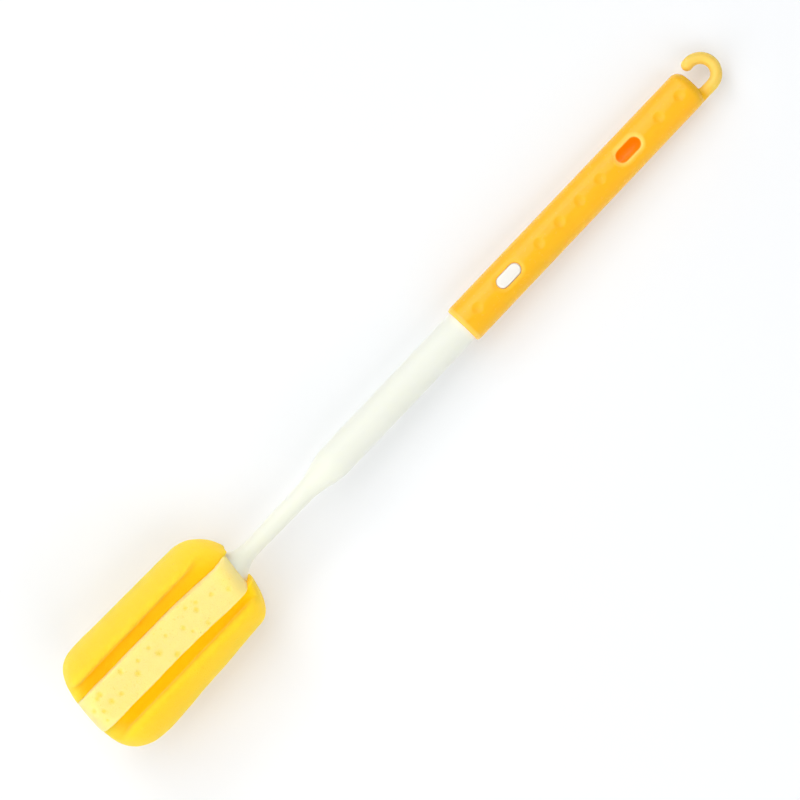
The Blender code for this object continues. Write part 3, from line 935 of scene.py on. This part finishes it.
        # Painted light: the neck end's dome glows, and the grooves glow by layer.
        ended = ((behind - self.end_start) / self.end_fade).eased() * (-groove + 1.0)
        glow = (ended * size("End Glow")).at_least(groove * size("Groove Glow"))
        depth = (-shape - self.pore_skin) / size("Pore Depth") * self.pore_dark
        for name, value in ((PAINTED_SHADE_SHARE, painted_shade), (GLOW, glow), (PORE_DEPTH, depth.unit())):
            mesh = made.store(mesh, name, value)
        made.finish(mesh)
        return made

    def _block(self, made: Recipe) -> tuple[Term, Term, Term]:
        """The head's outside and the layer's own section, before anything is pressed in.

        Args:
            made: the recipe.

        Returns:
            The distance field, the same without grooves and side walls, and how far into the
            neck's dome a place lies.
        """
        size, place = made.size, made.place
        centre = (self.length / 2, 0.0, 0.0)
        along = (place.split()[0] - self.length / 2) / self.length
        roll = -size("Roll") - along * size("Twist")
        unshifted = place.shifted(joined(made.tree, 0.0, -size("Shift"), 0.0))
        leaned = unshifted.turned(Axis.Z, -size("Yaw"), centre).turned(Axis.X, roll, centre)
        x, y, z = leaned.split()
        x = x - y * (along * size("Skew Rise") + size("Skew")) - size("Outer End")
        outer_dome, neck_dome = size("Outer Dome"), size("Neck Dome")
        straight = size("Layer Length") - outer_dome - neck_dome
        share = ((x - outer_dome) / straight).unit()

        def change(name: str) -> Term:
            """How much a size has changed since the outer end."""
            return (size("Neck " + name) - size("Outer " + name)) * share

        radius = size("Outer Radius") + change("Radius")
        power = size("Outer Power") + change("Power")
        aside = y + size("Outer Bias") + change("Bias")
        behind = (x - size("Layer Length") + neck_dome) / neck_dome
        rise = (-(x / outer_dome) + 1.0).at_least(behind).at_least(0.0)
        across = (aside * aside + z * z).root() / radius
        block = ((rise**power + across**power) ** (power**-1.0) - 1.0) * radius
        side, height, edge = size("Side"), abs(z), size("Edge Radius")
        floor = -height + size("Groove Floor")
        groove = overlap(y * side - size("Groove Wall"), floor, size("Groove Fillet"))
        grooved = overlap(block, -groove, size("Lip Radius"))
        bent = ((along + 0.5 - size("Bend Start")) / size("Bend Reach")).unit()
        aside = (y - size("Offset") + bent * bent * size("Bend")) * side
        walls = (-aside + size("Inner")).at_least(aside - size("Outer"))
        top = height - size("Half Height")
        return overlap(grooved, overlap(walls, top, edge), edge), block.at_least(top), behind

    def _fitted(self, made: Recipe, shape: Term) -> Term:
        """Leaves room for the flange at the neck end and for the spear.

        Args:
            made: the recipe.
            shape: the field so far.

        Returns:
            The field with its seat and bore.
        """
        size = made.size
        x, y, z = made.place.split()
        out = (y * y + z * z).root()
        floor, start = size("Seat Floor"), size("Bore Tip")
        beyond = (x - floor).at_least(0.0)
        edge = size("Seat Radius") + beyond * beyond * size("Seat Flare")
        seat = overlap(-x + floor, out - edge, size("Seat Fillet"))
        tip, root = size("Bore Tip Radius"), size("Bore Root Radius")
        share = ((x - start) / (floor - start)).unit()
        bore = (out - tip - (root - tip) * share).at_least(-x + start)
        return overlap(shape, -seat, size("Seat Lip")).at_least(-bore)

    def _pores(self, made: Recipe, strewn: Term, shape: Term, whole: Term) -> Term:
        """Shallow pores: those at given places of the upper face, and others strewn elsewhere.

        Args:
            made: the recipe.
            strewn: the position, moved by the seed.
            shape: the field so far.
            whole: the field without grooves and side walls.

        Returns:
            The distance field of the pores.
        """
        tree, size = made.tree, made.size
        depth, radius = size("Pore Depth"), size("Pore Radius")
        swings = (strewn.noise(apart) - 0.5 for apart in self.wobble_sizes)
        swing = joined(tree, *swings, 0.0).scaled(self.wobble)
        x, y, z = made.place.shifted(swing).split()
        feeds = {"Geometry": made.blank, "Sample Position": joined(tree, x, y, 0.0)}
        away = added(tree, "GeometryNodeProximity", feeds, out=1, target_element="POINTS")
        nearest = added(tree, "GeometryNodeSampleNearest", feeds)
        named = {"Name": "radius"}
        radii = added(tree, "GeometryNodeInputNamedAttribute", named, data_type="FLOAT")
        feeds = {"Geometry": made.blank, "Value": radii, "Index": nearest}
        width = added(tree, "GeometryNodeSampleIndex", feeds, data_type="FLOAT")
        bowl = (away / width).at_most(self.seen_reach)
        above = z.above(self.groove_floor)
        seen = whole + depth * (-(bowl * bowl) + 1.0) * self.seen_share
        seen = -seen + (-above + 1.0) * AWAY
        distance, pick = strewn.shifted(swing).cells(size("Pore Spacing"))
        own = radius * (pick.split()[1] * self.pore_spread + self.pore_least)
        _, y, z = made.place.split()
        level = -abs(z) + self.groove_floor - self.pore_room[0]
        hidden = level.at_most(abs(y) - self.outer.slab + self.pore_room[1])
        others = (distance - own + above * AWAY).at_least(-shape - depth).at_least(hidden)
        return seen.at_most(others) + size("Solid")

    def pore_map(self) -> Mesh:
        """Loose points at the pores that the photograph shows, each with its radius."""
        mesh = bpy.data.meshes.new("pore_map")
        mesh.from_pydata([(x, y, 0.0) for x, y, _ in self.seen_pores], [], [])
        radii = [radius * self.seen_width for _, _, radius in self.seen_pores]
        mesh.attributes.new("radius", "FLOAT", "POINT").data.foreach_set("value", radii)
        return mesh

    def sizes(self, part: FoamPart) -> dict[str, object]:
        """The recipe's inputs for one layer.

        Args:
            part: the layer.

        Returns:
            Every named size.
        """
        layer = list(FoamPart).index(part)
        sizes = labelled(self, layer)
        reach = self.outer_radius + self.spare
        outside = min(sizes["Outer"] + self.side_spare, reach)
        span = sorted(sizes["Side"] * y for y in (sizes["Inner"] - self.side_spare, outside))
        sizes["Low Corner"] = (-self.spare, span[0], -reach)
        sizes["High Corner"] = (self.length + self.spare, span[1], reach)
        return {**sizes, "Seed": layer + 1}

    def build(self) -> None:
        """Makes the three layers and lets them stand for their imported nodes."""
        recipe = self.recipe()
        pale, yellow = self.slab_finish.material(), self.lobe_finish.material()
        for part in FoamPart:
            slab = part is FoamPart.SLAB
            name = "foam_slab" if slab else f"foam_{part.name.lower()}_lobe"
            piece = add_object(name, self.pore_map())
            recipe.work(piece, self.sizes(part), pale if slab else yellow)
            keep_largest(piece.data)
            piece.data.transform(self.datum.matrix())
            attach(piece, "rod")
            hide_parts(part.value)
            report(piece)


@dataclass(frozen=True)
class TelescopicRod:
    """The one-piece moulded rod: barbed spear, flange and flare, neck, shoulder and tube."""

    datum: Datum
    flange_front: float = 95.8
    flange_rim: float = 1.4
    flange_radius: float = 9.0
    flange_edge: float = 0.35
    spear_length: float = 72.0
    spear_tip_radius: float = 3.2
    spear_root_radius: float = 4.2
    spear_nose: Point2 = (2.6, 1.4)
    barb_count: int = 4
    barb_pitch: float = 13.0
    barb_height: float = 1.2
    barb_slope: float = 5.0
    barb_back: float = 0.2
    flare_length: float = 13.2
    flare_power: float = 2.2
    flare_steps: int = 24
    neck_radii: Point2 = (4.1, 4.7)
    neck_length: float = 34.0
    shoulder_length: float = 22.0
    shoulder_steps: int = 32
    tube_radius: float = 8.3
    wall: float = 1.5
    tail_chamfer: float = 0.6
    hole_length: float = 14.1
    hole_width: float = 6.4
    finish: PlasticFinish = PlasticFinish(
        "milky_plastic", (0.84, 0.86, 0.75), (0.86, 0.875, 0.78), (0.89, 0.90, 0.80), gloss=0.38,
        reach=2.0, spread=(1.0, 1.0, 0.8),
    )

    def spear(self) -> list[Point2]:
        """Outline of the barbed spear, from its tip to its root at the flange.

        Returns:
            The (station, radius) points.
        """
        root = self.flange_front - self.flange_rim / 2
        tip = root - self.spear_length
        slope = (self.spear_root_radius - self.spear_tip_radius) / self.spear_length
        nose_length, nose_radius = self.spear_nose
        points = [(tip, 0.0), (tip, nose_radius), (tip + nose_length, self.spear_tip_radius)]
        for barb in range(self.barb_count):
            crest = root - self.barb_pitch * (self.barb_count - barb)
            shaft = self.spear_tip_radius + slope * (crest - tip)
            points.append((crest - self.barb_slope, shaft - slope * self.barb_slope))
            points += [(crest, shaft + self.barb_height), (crest + self.barb_back, shaft)]
        return [*points, (root, self.spear_root_radius)]

    def profile(self) -> list[Point2]:
        """Outline of the whole rod.

        Returns:
            The (station, radius) points.
        """
        points, front = self.spear(), self.flange_front
        root, rim = points[-1][0], self.flange_radius - self.flange_edge
        points += [(root, rim), (root + self.flange_edge, self.flange_radius)]
        points.append((front, self.flange_radius))
        start, end = front + self.flange_edge, front + self.flare_length
        rise = rim - self.neck_radii[0]
        for step in range(self.flare_steps + 1):
            share = step / self.flare_steps
            radius = self.neck_radii[0] + rise * (1 - share) ** self.flare_power
            points.append((start + (end - start) * share, radius))
        shoulder = end + self.neck_length
        rise = self.tube_radius - self.neck_radii[1]
        for step in range(self.shoulder_steps + 1):
            share = step / self.shoulder_steps
            radius = self.neck_radii[1] + rise * ((1 - math.cos(math.pi * share)) / 2)
            points.append((shoulder + self.shoulder_length * share, radius))
        floor, bore = shoulder + self.shoulder_length, self.tube_radius - self.wall
        tail = self.datum.station(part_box("rod")[1].x)
        points.append((tail - self.tail_chamfer, self.tube_radius))
        points += [(tail, self.tube_radius - self.tail_chamfer), (tail, bore)]
        return [*points, (floor + self.wall, bore), (floor, bore - self.wall), (floor, 0.0)]

    def build(self) -> None:
        """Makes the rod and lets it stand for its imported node."""
        rod = loft("telescopic_rod", spun(spaced(self.profile(), step=2.5), sides=96))
        outline = obround(self.datum.window(), self.hole_length, self.hole_width, steps=16)
        carve(rod, [(column(outline, self.tube_radius / 3, 2 * self.tube_radius), Work.CUT)])
        dress(rod, self.finish.material(), self.datum, sharp=32)
        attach(rod, "rod")
        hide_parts("rod")
        report(rod)


@dataclass(frozen=True)
class LockCatch:
    """The white lock button and the folded strip spring that pushes it out."""

    datum: Datum
    crown: float = 10.1
    length: float = 13.75
    width: float = 6.05
    edge: float = 0.8
    top_shares: Point3 = (0.7, 0.4, 0.12)
    collar_crown: float = 6.5
    collar_bottom: float = 4.5
    collar_length: float = 16.1
    collar_width: float = 8.4
    peg_diameter: float = 2.0
    peg_length: float = 1.2
    peg_chamfer: float = 0.2
    rod_bore: float = 6.8
    gap: float = 0.3
    strip_thickness: float = 0.4
    strip_width: float = 5.0
    strip_edge: float = 0.08
    strip_reach: float = 22.0
    strip_overhang: float = 4.0
    bend_radius: float = 1.6
    bend_turn: float = 160.0
    bend_steps: int = 16
    press_travel: float = 2.15
    button_finish: PlasticFinish = PlasticFinish(
        "white_plastic", (0.87, 0.85, 0.79), (0.89, 0.87, 0.82), (0.89, 0.87, 0.82), gloss=0.4,
        spread=(1.0, 1.0, 0.9),
    )
    strip_finish: SteelFinish = SteelFinish("spring_strip", (0.66, 0.66, 0.64), (0.42, 0.42, 0.42))

    def button(self) -> list[Ring]:
        """The button: peg, collar, straight wall, rounded edge and crowned top.

        Returns:
            Its rings, upwards.
        """
        rings = []

        def add(length: float, width: float, crown: float, lift: float) -> None:
            """Adds a ring that is flat or, where it has a crown, lies on its arch."""
            outline = obround(self.datum.window(), length, width, steps=14)
            arches = [math.sqrt(crown**2 - y**2) if crown else 0.0 for _, y in outline]
            rings.append([(x, y, arch + lift) for (x, y), arch in zip(outline, arches)])

        peg, bottom = self.peg_diameter, self.collar_bottom
        foot, tip = bottom - self.peg_length, peg - 2 * self.peg_chamfer
        add(tip, tip, 0.0, foot)
        add(peg, peg, 0.0, foot + self.peg_chamfer)
        add(peg, peg, 0.0, bottom)
        add(self.collar_length, self.collar_width, 0.0, bottom)
        add(self.collar_length, self.collar_width, self.collar_crown, 0.0)
        add(self.length, self.width, self.collar_crown, 0.0)
        for cos, sin in quarter(steps=6):
            inset, drop = 2 * self.edge * (1 - cos), self.edge * (1 - sin)
            add(self.length - inset, self.width - inset, self.crown, -drop)
        length, width = self.length - 2 * self.edge, self.width - 2 * self.edge
        for share in self.top_shares:
            shrink = width * (1 - share)
            add(length - shrink, width - shrink, self.crown, 0.0)
        return rings

    def strip(self) -> list[Ring]:
        """The folded strip, from the leg on the bore to that under the button.

        Returns:
            Its rings, lengthwise, with softened edges.
        """
        window = self.datum.window()
        rest = math.sqrt(self.rod_bore**2 - (self.strip_width / 2) ** 2) - self.gap
        low = -rest + self.strip_thickness / 2
        high = self.collar_bottom - self.gap - self.strip_thickness / 2
        end = window + self.strip_overhang
        path = [Vector((end, low))]
        for step in range(self.bend_steps + 1):
            angle = math.radians(270 - self.bend_turn * step / self.bend_steps)
            x = end - self.strip_reach + self.bend_radius * math.cos(angle)
            path.append(Vector((x, low + self.bend_radius * (1 + math.sin(angle)))))
        path += [Vector((window - self.strip_overhang, high)), Vector((end, high))]
        wide, thick, soft = self.strip_width / 2, self.strip_thickness / 2, self.strip_edge
        section = []
        for y, out in ((1, 1), (-1, 1), (-1, -1), (1, -1)):
            corner = [(y * wide, out * (thick - soft)), (y * (wide - soft), out * thick)]
            section += corner if y * out > 0 else corner[::-1]
        rings = []
        for before, here, after in zip([path[0], *path], path, [*path[1:], path[-1]]):
            along = (after - before).normalized()
            across = Vector((-along.y, along.x))
            spots = [(y, here + across * out) for y, out in section]
            rings.append([(spot.x, y, spot.y) for y, spot in spots])
        return rings

    def build(self) -> None:
        """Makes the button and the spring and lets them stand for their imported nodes."""
        button = loft("lock_button_top", self.button())
        dress(button, self.button_finish.material(), self.datum, sharp=32)
        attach(button, "lock_button")
        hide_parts("lock_button")
        report(button)

        strip = loft("strip_spring", self.strip())
        hole = self.peg_diameter + 2 * self.gap
        outline = obround(self.datum.window(), hole + HAIR, hole, steps=12)
        carve(strip, [(column(outline, self.collar_bottom - 2, self.collar_bottom + 1), Work.CUT)])
        dress(strip, self.strip_finish.material(), self.datum, sharp=32)
        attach(strip, "rod")
        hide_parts("lock_spring")
        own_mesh(strip)
        report(strip)


@dataclass(frozen=True)
class Grip:
    """The tubular handle with its two lock windows, thumb dimples and hanging hook."""

    datum: Datum
    bore: float = 8.55
    mouth_radius: float = 10.0
    end_radius: float = 9.75
    end_wall: float = 6.0
    mouth_round: Point2 = (2.2, 1.0)
    end_round: Point2 = (4.4, 4.6)
    window_pitch: float = 80.0
    window_length: float = 14.2
    window_width: float = 6.5
    ring_width: float = 1.9
    ring_depth: float = 0.9
    ring_slopes: Point2 = (0.55, 0.45)
    dimple_diameter: float = 5.6
    dimple_depth: float = 0.7
    dimple_pitch: float = 13.6
    dimple_set_back: float = 20.5
    dimple_counts: tuple[int, int, int] = (1, 4, 2)
    hook_stock: float = 5.7
    hook_diameter: float = 20.4
    hook_inset: float = 0.15
    hook_stem: float = 6.2
    hook_room: float = 15.7
    hook_root: float = 4.8
    hook_sweep: float = math.radians(190)
    hook_steps: int = 60
    hook_sides: int = 36
    hook_nose: float = 0.02
    hook_fade: float = 3.0
    fillet: float = 1.0
    fillet_length: float = 1.8
    fillet_power: float = 2.2
    fillet_steps: int = 8
    # How far and how strongly the painted lighter tint reaches on the mouth's rim, the windows'
    # rings and the hook, and how much painted glow the windows' walls get.
    rim_length: float = 2.6
    rim_fade: float = 0.8
    rim_light: float = 0.7
    window_lights: Point2 = (0.3, 1.0)
    window_reach: float = 1.3
    wall_light: float = 0.5
    skin: float = 0.2
    near: float = 0.02
    finish: PlasticFinish = PlasticFinish(
        "orange_yellow_plastic", (1.0, 0.515, 0.006), (1.0, 0.535, 0.012), (1.0, 0.66, 0.12),
        gloss=0.26, lit_share=0.45,
    )

    def ends(self) -> Point2:
        """The stations of the tube's open end and of its closed end."""
        low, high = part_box("handle")
        return self.datum.station(low.x), self.datum.station(high.x) - self.hook_room

    def windows(self) -> Point2:
        """The stations of the two windows' middles."""
        return self.datum.window(), self.datum.window() + self.window_pitch

    def profile(self) -> list[Point2]:
        """Outline of the handle without its hook.

        Returns:
            The (station, radius) points.
        """
        mouth, end = self.ends()
        floor = end - self.end_wall
        length, height = self.mouth_round
        outside = [
            (mouth + length * (1 - cos), self.mouth_radius - height * (1 - sin))
            for cos, sin in quarter(steps=8)
        ]
        length, height = self.end_round
        outside += [
            (end - length * (1 - sin), self.end_radius - height * (1 - cos))
            for cos, sin in quarter(steps=12)
        ]
        inside = spaced([(floor, self.bore), (mouth, self.bore)], step=12.0)
        return [(floor, 0.0), *inside, *spaced([*outside, (end, 0.0)], step=0.55)]

    def recipe(self) -> Recipe:
        """Sinks the dimples and the windows' rings into the turned tube.

        Returns:
            The Geometry Nodes tree.
        """
        made = Recipe("grip_marks")
        tree, size = made.tree, made.size
        rows = tree.nodes.new("GeometryNodeJoinGeometry")
        for label, way in (("Front", -1.0), ("Middle", 1.0), ("Rear", 1.0)):
            feeds = {
                "Count": size(label + " Count", "Int"),
                "Start Location": joined(tree, size(label + " Start"), 0.0, 0.0),
                "Offset": joined(tree, size("Dimple Pitch") * way, 0.0, 0.0),
            }
            feed(rows.inputs[0], added(tree, "GeometryNodeMeshLine", feeds))
        x, y, z = made.place.split()
        marks, plan = Term(tree, rows.outputs[0]), joined(tree, x, y, 0.0)
        feeds = {"Geometry": marks, "Sample Position": plan}
        away = added(tree, "GeometryNodeProximity", feeds, out=1, target_element="POINTS")
        near = away / (size("Dimple Diameter") / 2.0)
        sink = (-(near * near) + 1.0).unit() * size("Dimple Depth")
        straight = (size("Window Length") - size("Window Width")) / 2.0
        for label in ("Window Out", "Window In"):
            beyond = (abs(x - size(label)) - straight).at_least(0.0)
            outside = (beyond * beyond + y * y).root() - size("Window Width") / 2.0
            slope = (-(outside / size("Ring Width")) + 1.0).unit()
            slope = slope * self.ring_slopes[0] + slope.eased() * self.ring_slopes[1]
            sink = sink.at_least(slope * size("Ring Depth"))
        out = (y * y + z * z).root()
        skin = z.above(0.0) * out.above(size("Bore") + self.skin)
        push = -(sink / out)
        feeds = {"Geometry": made.blank, "Selection": skin}
        feeds["Offset"] = joined(tree, 0.0, y * push, z * push)
        made.finish(added(tree, "GeometryNodeSetPosition", feeds))
        return made

    def hook(self) -> Object:
        """Round stock that leaves the end face, bends round an open ring and ends rounded.

        Returns:
            The hook, in bench millimetres.
        """
        end, half = self.ends()[1], self.hook_stock / 2
        ring = (self.hook_diameter - self.hook_stock) / 2
        centre_x = end + self.hook_stem
        centre_y = self.hook_diameter / 2 - self.end_radius + self.hook_inset
        rings = []

        def add(x: float, y: float, turn: float, radius: float, flare: float = 0.0) -> None:
            """Adds a round ring across the stock, swollen towards the axis by a flare."""
            rings.append([])
            for side in range(self.hook_sides):
                angle = math.tau * side / self.hook_sides
                swollen = radius + flare * (-math.cos(angle) + 1) / 2
                out, level = swollen * math.cos(angle), swollen * math.sin(angle)
                rings[-1].append((x + out * math.sin(turn), y - out * math.cos(turn), level))

        for x in (end - self.hook_root, end - 1.0):
            add(x, centre_y - ring, 0.0, half, self.fillet)
        for step in range(self.fillet_steps + 1):
            share = step / self.fillet_steps
            x = end + share * self.fillet * self.fillet_length
            add(x, centre_y - ring, 0.0, half, self.fillet * (1 - share) ** self.fillet_power)
        for step in range(self.hook_steps + 1):
            turn = self.hook_sweep * step / self.hook_steps
            x, y = centre_x + ring * math.sin(turn), centre_y - ring * math.cos(turn)
            add(x, y, turn, half)
        ahead = (math.cos(turn), math.sin(turn))
        for cos, sin in quarter(steps=8)[1:-1]:
            tip = (x + half * sin * ahead[0], y + half * sin * ahead[1])
            add(*tip, turn, half * cos)
        nose = half * self.hook_nose
        rings.append([(tip[0] + nose * ahead[0], tip[1] + nose * ahead[1], 0.0)])
        return loft("hook_blank", rings)

    def build(self) -> None:
        """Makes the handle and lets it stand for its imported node."""
        windows = self.windows()
        sizes = {**labelled(self), "Window Out": windows[0], "Window In": windows[1]}
        starts = (windows[0] - self.dimple_set_back, *(x + self.dimple_set_back for x in windows))
        for row, start, count in zip(("Front", "Middle", "Rear"), starts, self.dimple_counts):
            sizes |= {row + " Start": start, row + " Count": count}
        grip = loft("handle_grip", spun(self.profile(), sides=128))
        material = self.finish.material()
        self.recipe().work(grip, sizes, material)
        tools = [(self.hook(), Work.JOIN)]
        for window in windows:
            outline = obround(window, self.window_length, self.window_width, steps=20)
            tools.append((column(outline, self.bore / 2, 2 * self.mouth_radius), Work.CUT))
        carve(grip, tools)
        self.mark_painted_light(grip.data)
        dress(grip, material, self.datum, sharp=34)
        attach(grip, "handle")
        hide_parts("handle")
        report(grip)

    def mark_painted_light(self, mesh: Mesh) -> None:
        """Marks painted light: a lighter tint on the mouth's rim, on the top of the windows' rings
        and on the hook, for light through the plastic and for highlights, and a glow in the bore
        and the windows' walls, into which the wall lets light.

        Args:
            mesh: the handle's mesh, in bench millimetres.
        """
        mouth, end = self.ends()
        places = np.empty(len(mesh.vertices) * 3, np.float32)
        mesh.vertices.foreach_get("co", places)
        x, y, z = places.reshape(-1, 3).T
        rim = np.clip((mouth + self.rim_length - x) / self.rim_fade, 0, 1) * self.rim_light
        hook = np.clip((x - end) / self.hook_fade, 0, 1)
        straight = (self.window_length - self.window_width) / 2
        ring, around = np.zeros(len(x)), np.full(len(x), np.inf)
        for middle, light in zip(self.windows(), self.window_lights):
            beyond = np.maximum(np.abs(x - middle) - straight, 0)
            away = np.hypot(beyond, y) - self.window_width / 2
            glow = np.clip(self.window_reach - away / self.ring_width, 0, 1)
            ring += glow * (z > 0) * light
            around = np.minimum(around, away)
        out = np.hypot(y, z)
        # The bore and the windows' walls get a painted glow.
        bore = (out < self.bore + self.near) & (x < end - self.end_wall + self.near)
        wall = (np.abs(around) < self.near) & (z > 0) & (out < self.mouth_radius)
        inside = np.maximum(bore, wall * self.wall_light)
        for name, value in ((PAINTED_LIGHT_SHARE, np.maximum.reduce([rim, hook, ring])), (PAINTED_BORE_GLOW, inside)):
            attribute = mesh.attributes.new(name, "FLOAT", "POINT")
            attribute.data.foreach_set("value", value.astype(np.float32))


def hang(data: ID, aim: Vector, back: Vector, up: Vector, away: float) -> Object:
    """Puts up a lamp or the camera, turned to what it is aimed at.

    Args:
        data: the lamp or camera.
        aim: the point that it faces.
        back: the way from that point to it.
        up: the way that its top points.
        away: how far from that point it is.

    Returns:
        Its object.
    """
    made = add_object(data.name, data)
    made.location = aim + back * away
    made.rotation_euler = Matrix((up.cross(back), up, back)).transposed().to_euler()
    return made


@dataclass(frozen=True)
class Lamp:
    """One softbox over the table, placed by its compass angle from the brush's left side."""

    name: str
    azimuth: float
    elevation: float
    size: Point2
    radiance: float
    distance: float = 2.0
    mirrored: bool = True

    def build(self, aim: Vector) -> None:
        """Hangs the lamp and turns it to the brush.

        Args:
            aim: the point that it faces.
        """
        data = bpy.data.lights.new(self.name, "AREA")
        data.shape = "RECTANGLE"
        data.size, data.size_y = self.size
        data.energy = self.radiance * math.pi * self.size[0] * self.size[1]
        turn, rise = math.radians(self.azimuth), math.radians(self.elevation)
        level = Vector((math.sin(turn), math.cos(turn), 0.0))
        back = level * math.cos(rise) + Vector((0.0, 0.0, math.sin(rise)))
        up = back.cross(Vector((level.y, -level.x, 0.0)))
        hang(data, aim, back, up, self.distance).visible_glossy = self.mirrored


@dataclass(frozen=True)
class Studio:
    """The photograph's set: white paper, soft light from the brush's left, and the camera."""

    aim: Point3 = (-0.0048, -0.0026, 0.0268)
    distance: float = 1.6
    pixel: float = 0.0004631
    frame_pixels: float = 800.0
    heading: float = math.radians(46.43)
    lean: float = math.radians(3.6)
    sensor: float = 36.0
    zenith: float = 0.03
    backdrop: float = 1.0
    horizon: float = 1.0
    horizon_band: Point2 = (0.05, 0.3)
    paper: PaperFinish = PaperFinish("white_paper", (0.91, 0.93, 0.95), shine=0.26, white=1.0)
    lamps: tuple[Lamp, ...] = (
        Lamp("overhead_softbox", 0.0, 65.0, (2.2, 1.8), 2.0),
        Lamp("strip_softbox", 7.0, 34.0, (0.7, 1.3), 2.6),
        Lamp("fill_softbox", 180.0, 45.0, (1.8, 1.8), 2.0, mirrored=False),
        Lamp("end_softbox", -90.0, 40.0, (1.8, 1.6), 1.9),
    )
    paper_side: float = 4.0
    rests: tuple[Point2, Point2] = ((-0.125, -0.001), (0.1935, 0.0168))

    def build(self) -> None:
        """Makes the camera, the lamps, the sky and the paper."""
        self.camera()
        for lamp in self.lamps:
            lamp.build(Vector(self.aim))
        self.sky()
        self.floor()

    def camera(self) -> None:
        """Looks down on the brush from the photograph's side, with its head at the lower left."""
        data = bpy.data.cameras.new("camera")
        data.sensor_width = self.sensor
        data.lens = self.sensor * self.distance / (self.pixel * self.frame_pixels)
        back = Vector((0.0, -math.sin(self.lean), math.cos(self.lean)))
        up = Vector((math.sin(self.heading), math.cos(self.heading), 0.0))
        up = (up - back * up.dot(back)).normalized()
        bpy.context.scene.camera = hang(data, Vector(self.aim), back, up, self.distance)

    def sky(self) -> None:
        """A dark studio overhead, where the photographer stands, and white walls around it."""
        world = bpy.data.worlds.new("sky")
        bpy.context.scene.world = world
        world.use_nodes = True
        tree = world.node_tree
        toward = added(tree, "ShaderNodeTexCoord", {}, out="Generated")
        low, high = self.horizon_band
        height = ((abs(toward.split()[2]) - low) / (high - low)).eased()
        shown = height * (self.zenith - self.horizon) + self.horizon
        light = tree.nodes["Background"]
        feed(light.inputs["Color"], (1.0, 1.0, 1.0, 1.0))
        feed(light.inputs["Strength"], shown.at_least(seen_directly(tree) * self.backdrop))

    def floor(self) -> None:
        """Paper that the foam head and the handle's end both rest on, so it slopes a little."""
        (x0, z0), (x1, z1) = self.rests
        mesh = bpy.data.meshes.new("paper")
        with opened(mesh) as shape:
            bmesh.ops.create_grid(shape, x_segments=8, y_segments=8, size=self.paper_side / 2)
            for vert in shape.verts:
                vert.co.z = z0 + (z1 - z0) / (x1 - x0) * (vert.co.x - x0)
        mesh.materials.append(self.paper.material())
        add_object("paper", mesh)


def main() -> None:
    """Builds the brush in order, from its foam head to its handle, and then the set."""
    logging.basicConfig(level=logging.INFO, format="%(name)s: %(message)s")
    datum = Datum.from_frame()
    for part in (FoamHead, TelescopicRod, LockCatch, Grip):
        log.info("making %s", part.__name__)
        part(datum).build()
    Studio().build()
    bpy.context.scene.view_settings.view_transform = "Standard"


if __name__ == "__main__":
    main()
